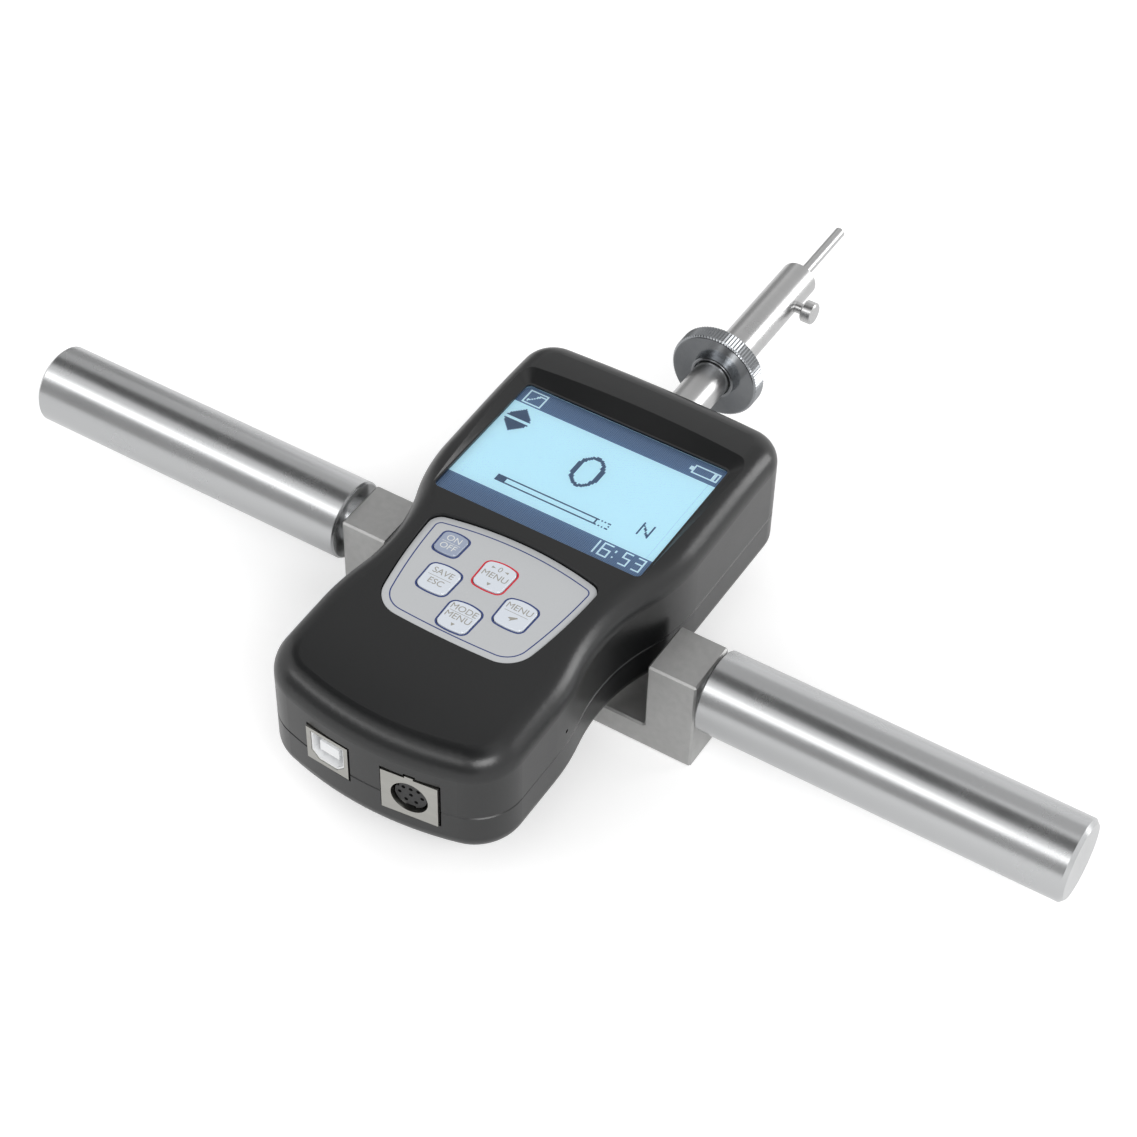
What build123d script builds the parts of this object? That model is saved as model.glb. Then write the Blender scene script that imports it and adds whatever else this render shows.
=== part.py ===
"""Hand-held digital force gauge on a U-bracket with two turned handles.

Frame: millimetres. The origin is the middle of the bracket's underside, which rests on the bench.
+X runs along the right-hand handle, +Y along the measuring axis towards the probe, and +Z up
out of the display. Every size below can be changed by itself; what fits to it follows.
"""
import os

from build123d import *

# ---------------------------------------------------------------- driving dimensions
# U-bracket and what stands on it
bracket_width = 102.8        # outside of one arm to the outside of the other
bracket_depth = 16.0         # along the measuring axis
bracket_height = 29.1
arm_thickness = 13.4
base_thickness = 7.5
bracket_chamfer = 0.5
spacer_length = 52.0
spacer_thickness = 5.9
spacer_corner = 2.0

# handles
handle_diameter = 21.2
handle_length = 96.0
handle_drop = 7.0            # handle axis below the top of the arms
handle_end_chamfer = 1.0
handle_inner_chamfer = 0.5
neck_diameter = 13.0
neck_length = 1.3            # the neck keeps the full diameter off the arm
stud_diameter = 8.0
stud_in_handle = 15.0
stud_recess = 0.8
stud_chamfer = 0.5

# housing: plan outline
head_half_width = 37.0
waist_half_width = 30.7
tail_half_width = 33.2
head_end_y = 64.2
tail_end_y = -71.7
shoulder_y = 17.0            # the straight sides of the head end here
waist_y = -17.0
bulge_y = -41.0              # the sides are widest again here
head_end_bow = 1.3
tail_end_bow = 6.4
head_corner_radius = 9.5
tail_corner_radius = 13.0
# housing: heights and wall
lower_depth = 12.5
tail_height = 20.0           # upper shell, above the parting plane
keypad_height = 20.9
head_height = 22.7
head_end_drop = 1.5
tail_end_drop = 2.6
wall = 2.4
top_edge_radius = 6.5
bottom_edge_radius = 4.6
seam_chamfer = 0.3
cavity_bevel = 0.4           # of the outer radius that the bevel inside follows

# display
window_width = 58.8
window_height = 43.6
window_centre_y = 23.0
window_corner = 1.4
window_margin = 0.5          # flat floor left round the opening
bezel_floor = 20.9           # flat floor of the sloped surround, above the parting plane
bezel_side = 4.4             # how far the sloped surround runs out to the sides at the head end
bezel_side_low = 2.0         # and at its foot, beside the waist
bezel_top = 6.2
bezel_bottom = 1.5
bezel_arch = 2.2
bezel_lip = 0.8
bezel_corner = 4.9
glass_thickness = 1.0
glass_margin = 1.2
glass_corner = 3.8
glass_clearance = 0.2
lcd_thickness = 1.9
backlight_thickness = 1.8
board_thickness = 1.6

# keypad
pad_half_width_top = 23.7
pad_half_width_bottom = 19.4
pad_top_y = -3.5
pad_top_corner_y = -6.6
pad_bottom_y = -39.2
pad_bottom_corner_y = -38.4
pad_side_bulge = 0.9
pad_corner_top = 3.6
pad_corner_bottom = 8.0
pad_floor = 19.3             # pocket floor above the parting plane
pad_film = 0.4
pad_gap = 0.25
key_width = 8.6
key_height = 9.0
power_key_width = 7.0
power_key_height = 7.2
key_proud = 0.4
key_travel = 0.4
key_clearance = 0.2
key_flange = 0.9
key_flange_thickness = 0.8
dome_gap = 0.3               # between a pressed key and its dome
dome_foot_radius = 2.6
dome_top_radius = 1.6
dome_sheet_width = 42.0
dome_sheet_height = 33.0
dome_sheet_thickness = 0.25
key_edge_chamfer = 0.2
key_arch = 0.22              # of half the key's width
key_taper = 0.94             # width of the foot over the width of the head
key_corner = 0.4             # of half the key's width
key_places = {
    "key_power": (-14.8, -12.8),
    "key_zero": (0.0, -16.3),
    "key_save": (-10.8, -24.0),
    "key_menu": (10.8, -24.0),
    "key_mode": (0.0, -31.7),
}

# sockets in the tail
usb_x = -10.5
usb_rise = 3.5               # centre above the parting plane
usb_width = 12.2
usb_height = 10.8
usb_angle = -4.1
usb_depth = 16.0
usb_mouth_width = 9.8
usb_mouth_height = 8.8
usb_mouth_bevel = 2.2
usb_lining = 0.45            # white plastic that lines the mouth
usb_lining_recess = 0.3
usb_back_wall = 1.5
usb_insert_back = 4.0        # thickness of the white block at the mouth's inner end
usb_insert_clearance = 0.05
usb_tongue_width = 5.6
usb_tongue_height = 3.2
usb_tongue_rise = 0.2
usb_tongue_recess = 0.9
usb_leg_width = 1.2
usb_leg_depth = 1.6
data_x = 12.2
data_rise = 2.0
data_width = 14.6
data_height = 13.2
data_angle = 7.0
data_depth = 13.0
data_bore = 9.6
data_plate = 1.2             # thickness of the visible face plate
data_plate_margin = 0.8      # the plate is wider than the body behind it
data_back_wall = 2.0
data_insert_clearance = 0.1
data_recess = 0.9            # the insert's face lies this far behind the plate's
data_groove = 0.7            # ring groove that takes the plug's shield
data_groove_depth = 5.0
data_tab_width = 2.2
data_tab_height = 0.6
data_contact_radius = 0.5
data_contact_depth = 4.5
data_key_width = 2.4
data_key_height = 0.6
data_notch_width = 1.3
data_notch_height = 1.4
data_notch_place = (3.6, 2.6)
data_key_depth = 4.0
data_contact_rows = {2.0: (-1.9, 0.0, 1.9), 0.0: (-2.9, 0.0, 2.9), -2.0: (-1.3, 1.3)}
socket_proud = 0.25
socket_gap = 0.45
socket_cut_depth = 24.0

# measuring rod, lock nut, adapter and probe
rod_rise = 3.4               # measuring axis above the parting plane
rod_diameter = 10.4
rod_hole_clearance = 1.0
rod_stud_diameter = 8.0
nut_diameter = 25.6
nut_thickness = 5.2
nut_standoff = 26.0          # back of the nut from the head end of the housing
nut_hub_diameter = 13.0
nut_hub_length = 0.8
nut_dish = 0.9
nut_dish_land = 1.2
nut_counterbore_depth = 1.8
nut_counterbore_clearance = 0.4
nut_front_chamfer = 0.7
nut_back_chamfer = 0.5
adapter_diameter = 10.5
adapter_length = 43.6
adapter_chamfer = 1.2
adapter_back_chamfer = 0.3
thread_engagement = 10.0
thread_chamfer = 0.4
drill_room = 1.2             # a drilled hole is this much deeper than what it holds
pin_diameter = 3.0
pin_shank_diameter = 3.6     # the part held in the adapter
pin_shoulder = 0.4           # how far the shank stands out of the adapter
pin_free_length = 24.6
pin_seat_depth = 16.0
pin_back_chamfer = 0.3
pin_step = 0.1
thumb_screw_y_back = 12.0    # behind the adapter's front face
thumb_diameter = 6.2
thumb_length = 3.3
thumb_neck = 2.3
thumb_shank = 3.0
thumb_chamfer = 0.35
running_clearance = 0.05
seated_clearance = 0.03      # where a screw or stud is tight in its thread
free_clearance = 0.2         # where a screw passes through
face_gap = 0.1

# load cell and its mounting
cell_width = 26.0
cell_height = 20.0
cell_length = 44.0
cell_slot = 2.4
cell_web = 4.0
chassis_width = 50.0
chassis_floor = 2.8
chassis_upright = 8.0
chassis_back_y = -7.0
chassis_front_y = 56.0
upright_drop = 1.0           # its top below the cell's top
gusset_size = 9.0
gusset_reach = 3.5           # outside of a gusset from the side of the upright
gusset_thickness = 3.0
chassis_slot_half_width = 9.0
chassis_slot_start = 12.0    # from the cell's back end
chassis_slot_end = 6.0       # from the chassis' front edge
cell_screw_diameter = 6.0
cell_screw_head = 10.0
cell_screw_head_length = 3.6
cell_screw_reach = 10.0
cell_screw_gap = 1.0         # from the battery pack to the screw's head
cell_screw_key = 2.9         # corner radius of the hexagon recess

# battery, boards and fasteners
battery_cells = 4
battery_diameter = 10.9
battery_length = 44.0
battery_pitch = 10.8
battery_gap = 1.8            # behind the square socket's inner end
battery_web = 0.55           # height of the wrap between two cells, over a cell's diameter
battery_rib = 1.4
battery_rib_height = 5.0
battery_rib_gap = 0.4
board_half_width = 24.5
board_front_y = 56.0
board_back_y = -46.0
board_corner = 2.0
board_edge_gap = 0.6
# parts soldered under the board: middle x, middle y, size along x, size along y, thickness
board_components = [(-1.0, -27.0, 14.0, 14.0, 1.4), (-16.0, -11.0, 8.0, 8.0, 2.0),
                    (16.0, -19.0, 8.0, 14.0, 4.0)]
socket_board_range = (-26.0, 20.0)
socket_board_start = 3.7     # from the tail's outer end
socket_board_depth = 12.0
m3_radius = 1.5
m3_head_radius = 2.75
m3_head_length = 3.0
m3_head_recess = 0.4
bracket_screw_x = 20.0
bracket_screw_y = 4.0
case_screw_radius = 1.25
case_head_radius = 2.4
case_head_length = 1.8
case_head_recess = 0.6
case_screw_reach = 8.0       # into the upper shell
case_boss_radius = 3.0
case_boss_inset = 8.0        # from the side and 10.2 from the end of the head
case_boss_end_inset = 10.2
case_tail_inset = 6.9        # the same two distances at the tail
case_tail_end_inset = 18.7
board_screw_radius = 1.0
board_head_radius = 1.9
board_head_length = 1.2
board_boss_radius = 2.5
board_screw_reach = 2.4
board_screw_inset = 3.5      # from the board's edges
socket_screw_x = (-22.5, 0.0)
socket_screw_inset = 11.7    # from the tail's outer end
socket_screw_reach = 0.5
reset_hole_diameter = 1.1
reset_hole_y = -36.4
reset_hole_rise = 4.4

# ---------------------------------------------------------------- derived places
inner_half = bracket_width / 2 - arm_thickness
handle_z = bracket_height - handle_drop
housing_bottom = base_thickness + spacer_thickness
parting = housing_bottom + lower_depth
floor_z = housing_bottom + wall
rod_z = parting + rod_rise
bezel_z = parting + bezel_floor
glass_top = bezel_z - bezel_lip
lcd_top = glass_top - glass_thickness
backlight_top = lcd_top - lcd_thickness
board_top = backlight_top - backlight_thickness
board_bottom = board_top - board_thickness
pad_z = parting + pad_floor
pad_top_z = pad_z + pad_film
key_top_z = pad_top_z + key_proud
flange_top_z = parting + tail_height - wall - 0.1
key_bottom_z = flange_top_z - key_flange_thickness
dome_top_z = key_bottom_z - key_travel - dome_gap
chassis_top = floor_z + chassis_floor
nut_back_y = head_end_y + nut_standoff
stud_end_y = nut_back_y + nut_thickness + face_gap + thread_engagement
adapter_back_y = nut_back_y + nut_thickness + face_gap
adapter_front_y = adapter_back_y + adapter_length
pin_back_y = adapter_front_y - pin_seat_depth
thumb_y = adapter_front_y - thumb_screw_y_back
socket_board_top = parting + data_rise - data_height / 2
socket_board_bottom = socket_board_top - board_thickness
# the crown from tail to head: station along the housing, height above the parting plane
crown_stations = [
    (tail_end_y - 6.0, tail_height - tail_end_drop),
    (tail_end_y + 13.0, tail_height - 0.3 * tail_end_drop),
    (-36.0, tail_height),
    (-6.0, keypad_height),
    (30.0, head_height - 0.4),
    (48.0, head_height),
    (head_end_y + 4.0, head_height - head_end_drop),
]
case_screw_places = [(sign * x, y) for x, y in (
    (head_half_width - case_boss_inset, head_end_y - case_boss_end_inset),
    (tail_half_width - case_tail_inset, tail_end_y + case_tail_end_inset)) for sign in (-1, 1)]
board_screw_places = [
    (sign * (board_half_width - board_screw_inset), y) for sign in (-1, 1)
    for y in (board_front_y - board_screw_inset, board_back_y + board_screw_inset)]
socket_board_places = [(x, tail_end_y + socket_screw_inset) for x in socket_screw_x]
battery_back_y = tail_end_y + usb_depth + battery_gap
battery_front_y = battery_back_y + battery_diameter + (battery_cells - 1) * battery_pitch
cell_back_y = battery_front_y + cell_screw_gap + cell_screw_head_length + chassis_upright
cell_front_y = cell_back_y + cell_length
overshoot = 1.0              # a cutter starts and ends this far outside what it cuts
lift = 60.0                  # longer than any cut needs to be


# ---------------------------------------------------------------- helpers
def cylinder_z(radius, z_low, z_high, x=0.0, y=0.0):
    """Upright cylinder between two heights."""
    return Pos(x, y, (z_low + z_high) / 2) * Cylinder(radius, z_high - z_low)


def cylinder_y(radius, y_low, y_high, x=0.0, z=0.0):
    """Cylinder along the measuring axis between two stations."""
    turned = Rot(90, 0, 0) * Cylinder(radius, y_high - y_low)
    return Pos(x, (y_low + y_high) / 2, z) * turned


def cylinder_x(radius, x_low, x_high, y=0.0, z=0.0):
    """Cylinder along X between two stations."""
    turned = Rot(0, 90, 0) * Cylinder(radius, x_high - x_low)
    return Pos((x_low + x_high) / 2, y, z) * turned


def block(x_range, y_range, z_range):
    """Rectangular block from its three ranges."""
    sizes = [high - low for low, high in (x_range, y_range, z_range)]
    centre = [(high + low) / 2 for low, high in (x_range, y_range, z_range)]
    return Pos(*centre) * Box(*sizes)


def turned_part(profile, centre_z):
    """Revolve (radius, y) points about the measuring axis at a height."""
    outline = Polyline([(r, y) for r, y in profile], close=True)
    solid = revolve(make_face(outline), Axis.Y, 360)
    return Pos(0, 0, centre_z) * solid


def upright_edges(solid):
    return [edge for edge in solid.edges() if abs(edge.tangent_at(0.5).Z) > 0.9]


def rounded_rectangle(width, height, radius, centre_y):
    return Pos(0, centre_y) * RectangleRounded(width, height, radius)


# ---------------------------------------------------------------- housing forms
def double_curve(start, end):
    """Two equal arcs that swing from one straight run along Y over to another beside it."""
    middle = ((start[0] + end[0]) / 2, (start[1] + end[1]) / 2)
    return [TangentArc(start, middle, tangent=(0, -1)), TangentArc(end, middle, tangent=(0, 1))]


def housing_outline(inset=0.0):
    """Plan outline: broad head, narrow waist for the hand, rounded tail; inset for the inside."""
    head, waist, tail = (w - inset for w in (head_half_width, waist_half_width, tail_half_width))
    head_y, tail_y = head_end_y - inset, tail_end_y + inset
    head_corner, tail_corner = head_y - head_end_bow, tail_y + tail_end_bow
    side = [
        Line((head, head_corner), (head, shoulder_y)),
        *double_curve((head, shoulder_y), (waist, waist_y)),
        *double_curve((waist, waist_y), (tail, bulge_y)),
        Line((tail, bulge_y), (tail, tail_corner)),
    ]
    other_side = [mirror(edge, about=Plane.YZ) for edge in side]
    head_end = ThreePointArc((-head, head_corner), (0, head_y), (head, head_corner))
    tail_end = ThreePointArc((-tail, tail_corner), (0, tail_y), (tail, tail_corner))
    face = make_face(side + [tail_end, head_end] + other_side)
    head_corners = [v for v in face.vertices() if abs(v.Y - head_corner) < 0.01]
    face = fillet(head_corners, head_corner_radius - inset)
    tail_corners = [v for v in face.vertices() if abs(v.Y - tail_corner) < 0.01]
    return fillet(tail_corners, tail_corner_radius - inset)


def top_surface_prism(drop=0.0):
    """Everything under the crowned top: low over the tail, rising under the display."""
    points = [(y, parting + height - drop) for y, height in crown_stations]
    low = housing_bottom - overshoot
    crown = Spline(points)
    sides = Polyline(points[-1], (points[-1][0], low), (points[0][0], low), points[0])
    face = Plane.YZ.offset(-lift) * make_face([crown, sides])
    return extrude(face, 2 * lift)


def upper_form(inset=0.0):
    """Upper half as a sharp-edged solid under the crowned top."""
    prism = extrude(Pos(0, 0, parting) * housing_outline(inset), lift)
    return prism & top_surface_prism(inset)


def lower_form(inset=0.0):
    """Lower half as a sharp-edged solid."""
    low = housing_bottom + inset
    return extrude(Pos(0, 0, low) * housing_outline(inset), parting - low)


def top_edges(form):
    return form.faces().sort_by(Axis.Z)[-1].edges()


def bottom_edges(form):
    return form.faces().sort_by(Axis.Z)[0].edges()


def upper_outside():
    """Outside of the upper shell: rounded on top, its edge broken at the parting plane."""
    form = upper_form()
    form = fillet(top_edges(form), top_edge_radius)
    return chamfer(bottom_edges(form), seam_chamfer)


def lower_outside():
    """Outside of the lower shell: rounded below, its edge broken at the parting plane."""
    form = lower_form()
    form = fillet(bottom_edges(form), bottom_edge_radius)
    return chamfer(top_edges(form), seam_chamfer)


def upper_cavity(inset):
    """Room inside the upper shell, bevelled where the outside is rounded."""
    form = upper_form(inset)
    return chamfer(top_edges(form), cavity_bevel * top_edge_radius)


def lower_cavity(inset):
    """Room inside the lower shell, bevelled where the outside is rounded."""
    form = lower_form(inset)
    return chamfer(bottom_edges(form), cavity_bevel * bottom_edge_radius)


def tail_wall_y(x):
    """Y of the tail's outer wall at a given x, on its bowed end."""
    half = tail_half_width
    bow_radius = (half ** 2 + tail_end_bow ** 2) / (2 * tail_end_bow)
    return tail_end_y + bow_radius - (bow_radius ** 2 - x ** 2) ** 0.5


def socket_place(x, rise, angle):
    """Frame on the tail wall for a socket: local -Y points out of the housing."""
    return Pos(x, tail_wall_y(x) - socket_proud, parting + rise) * Rot(0, 0, angle)


def socket_cut(x, rise, angle, width, height):
    gap = 2 * socket_gap
    return socket_place(x, rise, angle) * Box(width + gap, socket_cut_depth, height + gap)


def shell_cuts():
    """Openings that the two shells share: both sockets and the rod hole."""
    cuts = socket_cut(usb_x, usb_rise, usb_angle, usb_width, usb_height)
    cuts += socket_cut(data_x, data_rise, data_angle, data_width, data_height)
    tab_room = Pos(0, 0, (data_height + data_tab_height) / 2) * Box(
        data_tab_width + 2 * socket_gap, socket_cut_depth, data_tab_height + 2 * socket_gap)
    cuts += socket_place(data_x, data_rise, data_angle) * tab_room
    hole = rod_diameter / 2 + rod_hole_clearance
    return cuts + cylinder_y(hole, head_end_y - 4 * wall, head_end_y + overshoot, z=rod_z)


# ---------------------------------------------------------------- keypad forms
def pad_outline(grow=0.0):
    """Keypad film: arched top edge, sides that follow the waist, round lower corners."""
    half_top, half_low = pad_half_width_top + grow, pad_half_width_bottom + grow
    corner_high, corner_low = pad_top_corner_y + grow, pad_bottom_corner_y - grow
    middle_x = (half_top + half_low) / 2 + pad_side_bulge
    middle_y = (corner_high + corner_low) / 2
    top_right, low_right = (half_top, corner_high), (half_low, corner_low)
    top_left, low_left = (-half_top, corner_high), (-half_low, corner_low)
    face = make_face([
        ThreePointArc(top_left, (0, pad_top_y + grow), top_right),
        ThreePointArc(top_right, (middle_x, middle_y), low_right),
        ThreePointArc(low_right, (0, pad_bottom_y - grow), low_left),
        ThreePointArc(low_left, (-middle_x, middle_y), top_left),
    ])
    face = fillet([v for v in face.vertices() if v.Y > middle_y], pad_corner_top + grow)
    lower = [v for v in face.vertices() if abs(v.Y - corner_low) < 0.01]
    return fillet(lower, pad_corner_bottom + grow)


def key_face(name, grow=0.0):
    """Shield-shaped key: arched top edge, slightly bowed foot, round corners."""
    small = name == "key_power"
    half = (power_key_width if small else key_width) / 2
    tall = (power_key_height if small else key_height) / 2
    arch, foot = key_arch * half, key_taper * half
    face = make_face([
        ThreePointArc((-half, tall - arch), (0, tall), (half, tall - arch)),
        Line((half, tall - arch), (foot, arch / 2 - tall)),
        ThreePointArc((foot, arch / 2 - tall), (0, -tall), (-foot, arch / 2 - tall)),
        Line((-foot, arch / 2 - tall), (-half, tall - arch)),
    ])
    face = fillet(face.vertices(), key_corner * half)
    if grow:
        face = offset(face, grow)
    x, y = key_places[name]
    return Pos(x, y) * face


def keys():
    """Captive key caps: a shield-shaped plunger with a retaining flange below the shell."""
    caps = {}
    for name in key_places:
        plunger = extrude(Pos(0, 0, key_bottom_z) * key_face(name), key_top_z - key_bottom_z)
        plunger = chamfer(top_edges(plunger), key_edge_chamfer)
        flange = extrude(Pos(0, 0, key_bottom_z) * key_face(name, key_flange), key_flange_thickness)
        caps[name] = plunger + flange
    return caps


# ---------------------------------------------------------------- shells
def bezel_cut():
    """Sloped surround of the display, deepest at the head end, with an arched top edge."""
    out_high, out_low = window_width / 2 + bezel_side, window_width / 2 + bezel_side_low
    low_y = window_centre_y - window_height / 2 - bezel_bottom
    high_y = window_centre_y + window_height / 2 + bezel_top
    floor = rounded_rectangle(window_width + 2 * window_margin, window_height + 2 * window_margin,
                              window_corner + window_margin, window_centre_y)
    mouth = make_face([
        Line((out_low, low_y), (out_high, high_y - bezel_arch)),
        ThreePointArc((out_high, high_y - bezel_arch), (0, high_y), (-out_high, high_y - bezel_arch)),
        Line((-out_high, high_y - bezel_arch), (-out_low, low_y)),
        Line((-out_low, low_y), (out_low, low_y)),
    ])
    mouth = fillet(mouth.vertices(), bezel_corner)
    rise = head_height - bezel_floor
    return loft([Pos(0, 0, bezel_z) * floor, Pos(0, 0, bezel_z + rise) * mouth])


def upper_housing():
    shell = upper_outside() - upper_cavity(wall)
    # display: sloped surround, window opening, and the seat for the glass inside
    shell -= bezel_cut()
    opening = rounded_rectangle(window_width, window_height, window_corner, window_centre_y)
    shell -= extrude(Pos(0, 0, lcd_top) * opening, lift)
    margin = glass_margin + glass_clearance
    seat = rounded_rectangle(window_width + 2 * margin, window_height + 2 * margin,
                             glass_corner + glass_clearance, window_centre_y)
    shell -= extrude(Pos(0, 0, board_bottom) * seat, glass_top - board_bottom)
    # keypad pocket and key wells
    shell -= extrude(Pos(0, 0, pad_z) * pad_outline(pad_gap), lift)
    for name in key_places:
        shell -= extrude(Pos(0, 0, board_bottom) * key_face(name, key_clearance), lift)
    # bosses for the board and for the case screws
    reach = upper_cavity(wall / 2)
    for x, y in board_screw_places:
        boss = cylinder_z(board_boss_radius, board_top, parting + lift, x, y) & reach
        shell += boss
        shell -= cylinder_z(board_screw_radius + seated_clearance, board_top - overshoot,
                            board_top + board_screw_reach + free_clearance, x, y)
    for x, y in case_screw_places:
        boss = cylinder_z(case_boss_radius, parting, parting + lift, x, y) & reach
        shell += boss
        shell -= cylinder_z(case_screw_radius + seated_clearance, parting - overshoot,
                            parting + case_screw_reach + drill_room, x, y)
    shell -= shell_cuts()
    shell -= cylinder_x(reset_hole_diameter / 2, waist_half_width - 2 * wall,
                        tail_half_width + overshoot, reset_hole_y, parting + reset_hole_rise)
    return shell


def lower_housing():
    shell = lower_outside() - lower_cavity(wall)
    for x, y in case_screw_places:
        shell += cylinder_z(case_boss_radius, floor_z - wall / 4, parting, x, y)
        shell -= cylinder_z(case_screw_radius + free_clearance, housing_bottom - overshoot,
                            parting + overshoot, x, y)
        shell -= cylinder_z(case_head_radius + free_clearance, housing_bottom - overshoot,
                            housing_bottom + case_head_length + case_head_recess, x, y)
    # cradle ribs for the battery and posts for the socket board
    rib_x = battery_length / 2 + battery_rib_gap
    for sign in (-1, 1):
        rib = sorted((sign * rib_x, sign * (rib_x + battery_rib)))
        shell += block(rib, (battery_back_y, battery_front_y),
                       (floor_z - wall / 4, floor_z + battery_rib_height))
    for x, y in socket_board_places:
        shell += cylinder_z(board_boss_radius, floor_z - wall / 4, socket_board_bottom, x, y)
        shell -= cylinder_z(board_screw_radius + seated_clearance, floor_z + socket_screw_reach / 2,
                            socket_board_bottom + overshoot, x, y)
    for x, y in bracket_screw_places():
        shell -= cylinder_z(m3_radius + free_clearance, housing_bottom - overshoot,
                            floor_z + overshoot, x, y)
    shell -= shell_cuts()
    return shell


# ---------------------------------------------------------------- display and keypad
def display_parts():
    """Glass, liquid crystal panel and backlight tray, stacked between shell and board."""
    width = window_width + 2 * glass_margin
    height = window_height + 2 * glass_margin
    glass = rounded_rectangle(width, height, glass_corner, window_centre_y)
    panel = rounded_rectangle(width - 2 * glass_clearance, height - 2 * glass_clearance,
                              glass_corner, window_centre_y)
    return {
        "display_glass": extrude(Pos(0, 0, lcd_top) * glass, glass_thickness),
        "display_panel": extrude(Pos(0, 0, backlight_top) * panel, lcd_thickness),
        "display_backlight": extrude(Pos(0, 0, board_top) * panel, backlight_thickness),
    }


def keypad_parts():
    film = extrude(Pos(0, 0, pad_z) * pad_outline(), pad_film)
    for name in key_places:
        film -= extrude(Pos(0, 0, pad_z - overshoot) * key_face(name, key_clearance), lift)
    base = Pos(0, (pad_top_y + pad_bottom_y) / 2) * Rectangle(dome_sheet_width, dome_sheet_height)
    domes = extrude(Pos(0, 0, board_top) * base, dome_sheet_thickness)
    upright = (Align.CENTER, Align.CENTER, Align.MIN)
    for x, y in key_places.values():
        domes += Pos(x, y, board_top) * Cone(dome_foot_radius, dome_top_radius,
                                             dome_top_z - board_top, align=upright)
    return {"keypad_film": film, "dome_sheet": domes}


# ---------------------------------------------------------------- boards, battery, sockets
def circuit_board():
    outline = block((-board_half_width, board_half_width), (board_back_y, board_front_y),
                    (board_bottom, board_top))
    board = fillet(upright_edges(outline), board_corner)
    for x, y in board_screw_places:
        board -= cylinder_z(board_screw_radius + free_clearance, board_bottom - overshoot,
                            board_top + overshoot, x, y)
    for x, y, wide, deep, thick in board_components:
        board += Pos(x, y, board_bottom - thick / 2) * Box(wide, deep, thick)
    return board


def socket_board():
    """Small board behind the sockets, cut to the tail's rounded outline."""
    start = tail_end_y + socket_board_start
    board = block(socket_board_range, (start, start + socket_board_depth),
                  (socket_board_bottom, socket_board_top))
    inside = extrude(housing_outline(wall + board_edge_gap), board_thickness)
    board &= Pos(0, 0, socket_board_bottom) * inside
    for x, y in socket_board_places:
        board -= cylinder_z(board_screw_radius + free_clearance, socket_board_bottom - overshoot,
                            socket_board_top + overshoot, x, y)
    return board


def usb_socket():
    """Square socket: nickel shell with bevelled lower corners, white insert with a tongue."""
    body = Pos(0, usb_depth / 2, 0) * Box(usb_width, usb_depth, usb_height)
    half_w, half_h, bevel = usb_mouth_width / 2, usb_mouth_height / 2, usb_mouth_bevel
    mouth = make_face(Polyline((-half_w, half_h), (half_w, half_h), (half_w, bevel - half_h),
                               (half_w - bevel, -half_h), (bevel - half_w, -half_h),
                               (-half_w, bevel - half_h), close=True))
    cavity_end = usb_depth - usb_back_wall
    shell = body - extrude(Plane.XZ * mouth, -cavity_end)
    leg_length = parting + usb_rise - usb_height / 2 - socket_board_top
    leg_x = (usb_width - usb_leg_width) / 2
    for x in (-leg_x, leg_x):
        for y in (usb_depth * 0.3, usb_depth * 0.7):
            leg = Box(usb_leg_width, usb_leg_depth, leg_length)
            shell += Pos(x, y, -(usb_height + leg_length) / 2) * leg
    back_start = cavity_end - usb_insert_back
    fitted = offset(mouth, -usb_insert_clearance)
    rim = fitted - offset(mouth, -usb_lining)
    back = Pos(0, back_start, 0) * extrude(Plane.XZ * fitted, -usb_insert_back)
    lining = Pos(0, usb_lining_recess, 0) * extrude(Plane.XZ * rim, usb_lining_recess - back_start)
    tongue = Pos(0, (usb_tongue_recess + back_start) / 2, usb_tongue_rise) * Box(
        usb_tongue_width, back_start - usb_tongue_recess, usb_tongue_height)
    place = socket_place(usb_x, usb_rise, usb_angle)
    return {"usb_shell": place * shell, "usb_insert": place * (back + lining + tongue)}


def data_socket():
    """Round eight-way socket in a square nickel plate, with a keyed black insert."""
    plate = Pos(0, data_plate / 2, 0) * Box(data_width, data_plate, data_height)
    body = Pos(0, (data_plate + data_depth) / 2, 0) * Box(
        data_width - 2 * data_plate_margin, data_depth - data_plate, data_height)
    tab = Pos(0, data_plate / 2, (data_height + data_tab_height) / 2) * Box(
        data_tab_width, data_plate, data_tab_height)
    bore_end = data_depth - data_back_wall
    shell = plate + body + tab - cylinder_y(data_bore / 2, -overshoot, bore_end)
    core = data_bore / 2 - data_groove
    insert = cylinder_y(data_bore / 2 - data_insert_clearance, data_groove_depth, bore_end)
    insert += cylinder_y(core, data_recess, data_groove_depth)
    insert -= Pos(0, data_key_depth / 2, -core) * Box(
        data_key_width, data_key_depth, 2 * data_key_height)
    notch_x, notch_z = data_notch_place
    for sign in (-1, 1):
        insert -= Pos(sign * notch_x, data_key_depth / 2, notch_z) * Box(
            data_notch_width, data_key_depth, data_notch_height)
    for z, row in data_contact_rows.items():
        for x in row:
            insert -= cylinder_y(data_contact_radius, 0, data_contact_depth, x, z)
    place = socket_place(data_x, data_rise, data_angle)
    return {"data_shell": place * shell, "data_insert": place * insert}


def battery_pack():
    """Shrink-wrapped row of cells lying across the tail."""
    radius, half = battery_diameter / 2, battery_length / 2
    centre_z = floor_z + radius
    cell_y = [battery_back_y + radius + index * battery_pitch for index in range(battery_cells)]
    web = battery_web * radius
    pack = block((-half, half), (cell_y[0], cell_y[-1]), (centre_z - web, centre_z + web))
    for y in cell_y:
        pack += cylinder_x(radius, -half, half, y, centre_z)
    return pack


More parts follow.
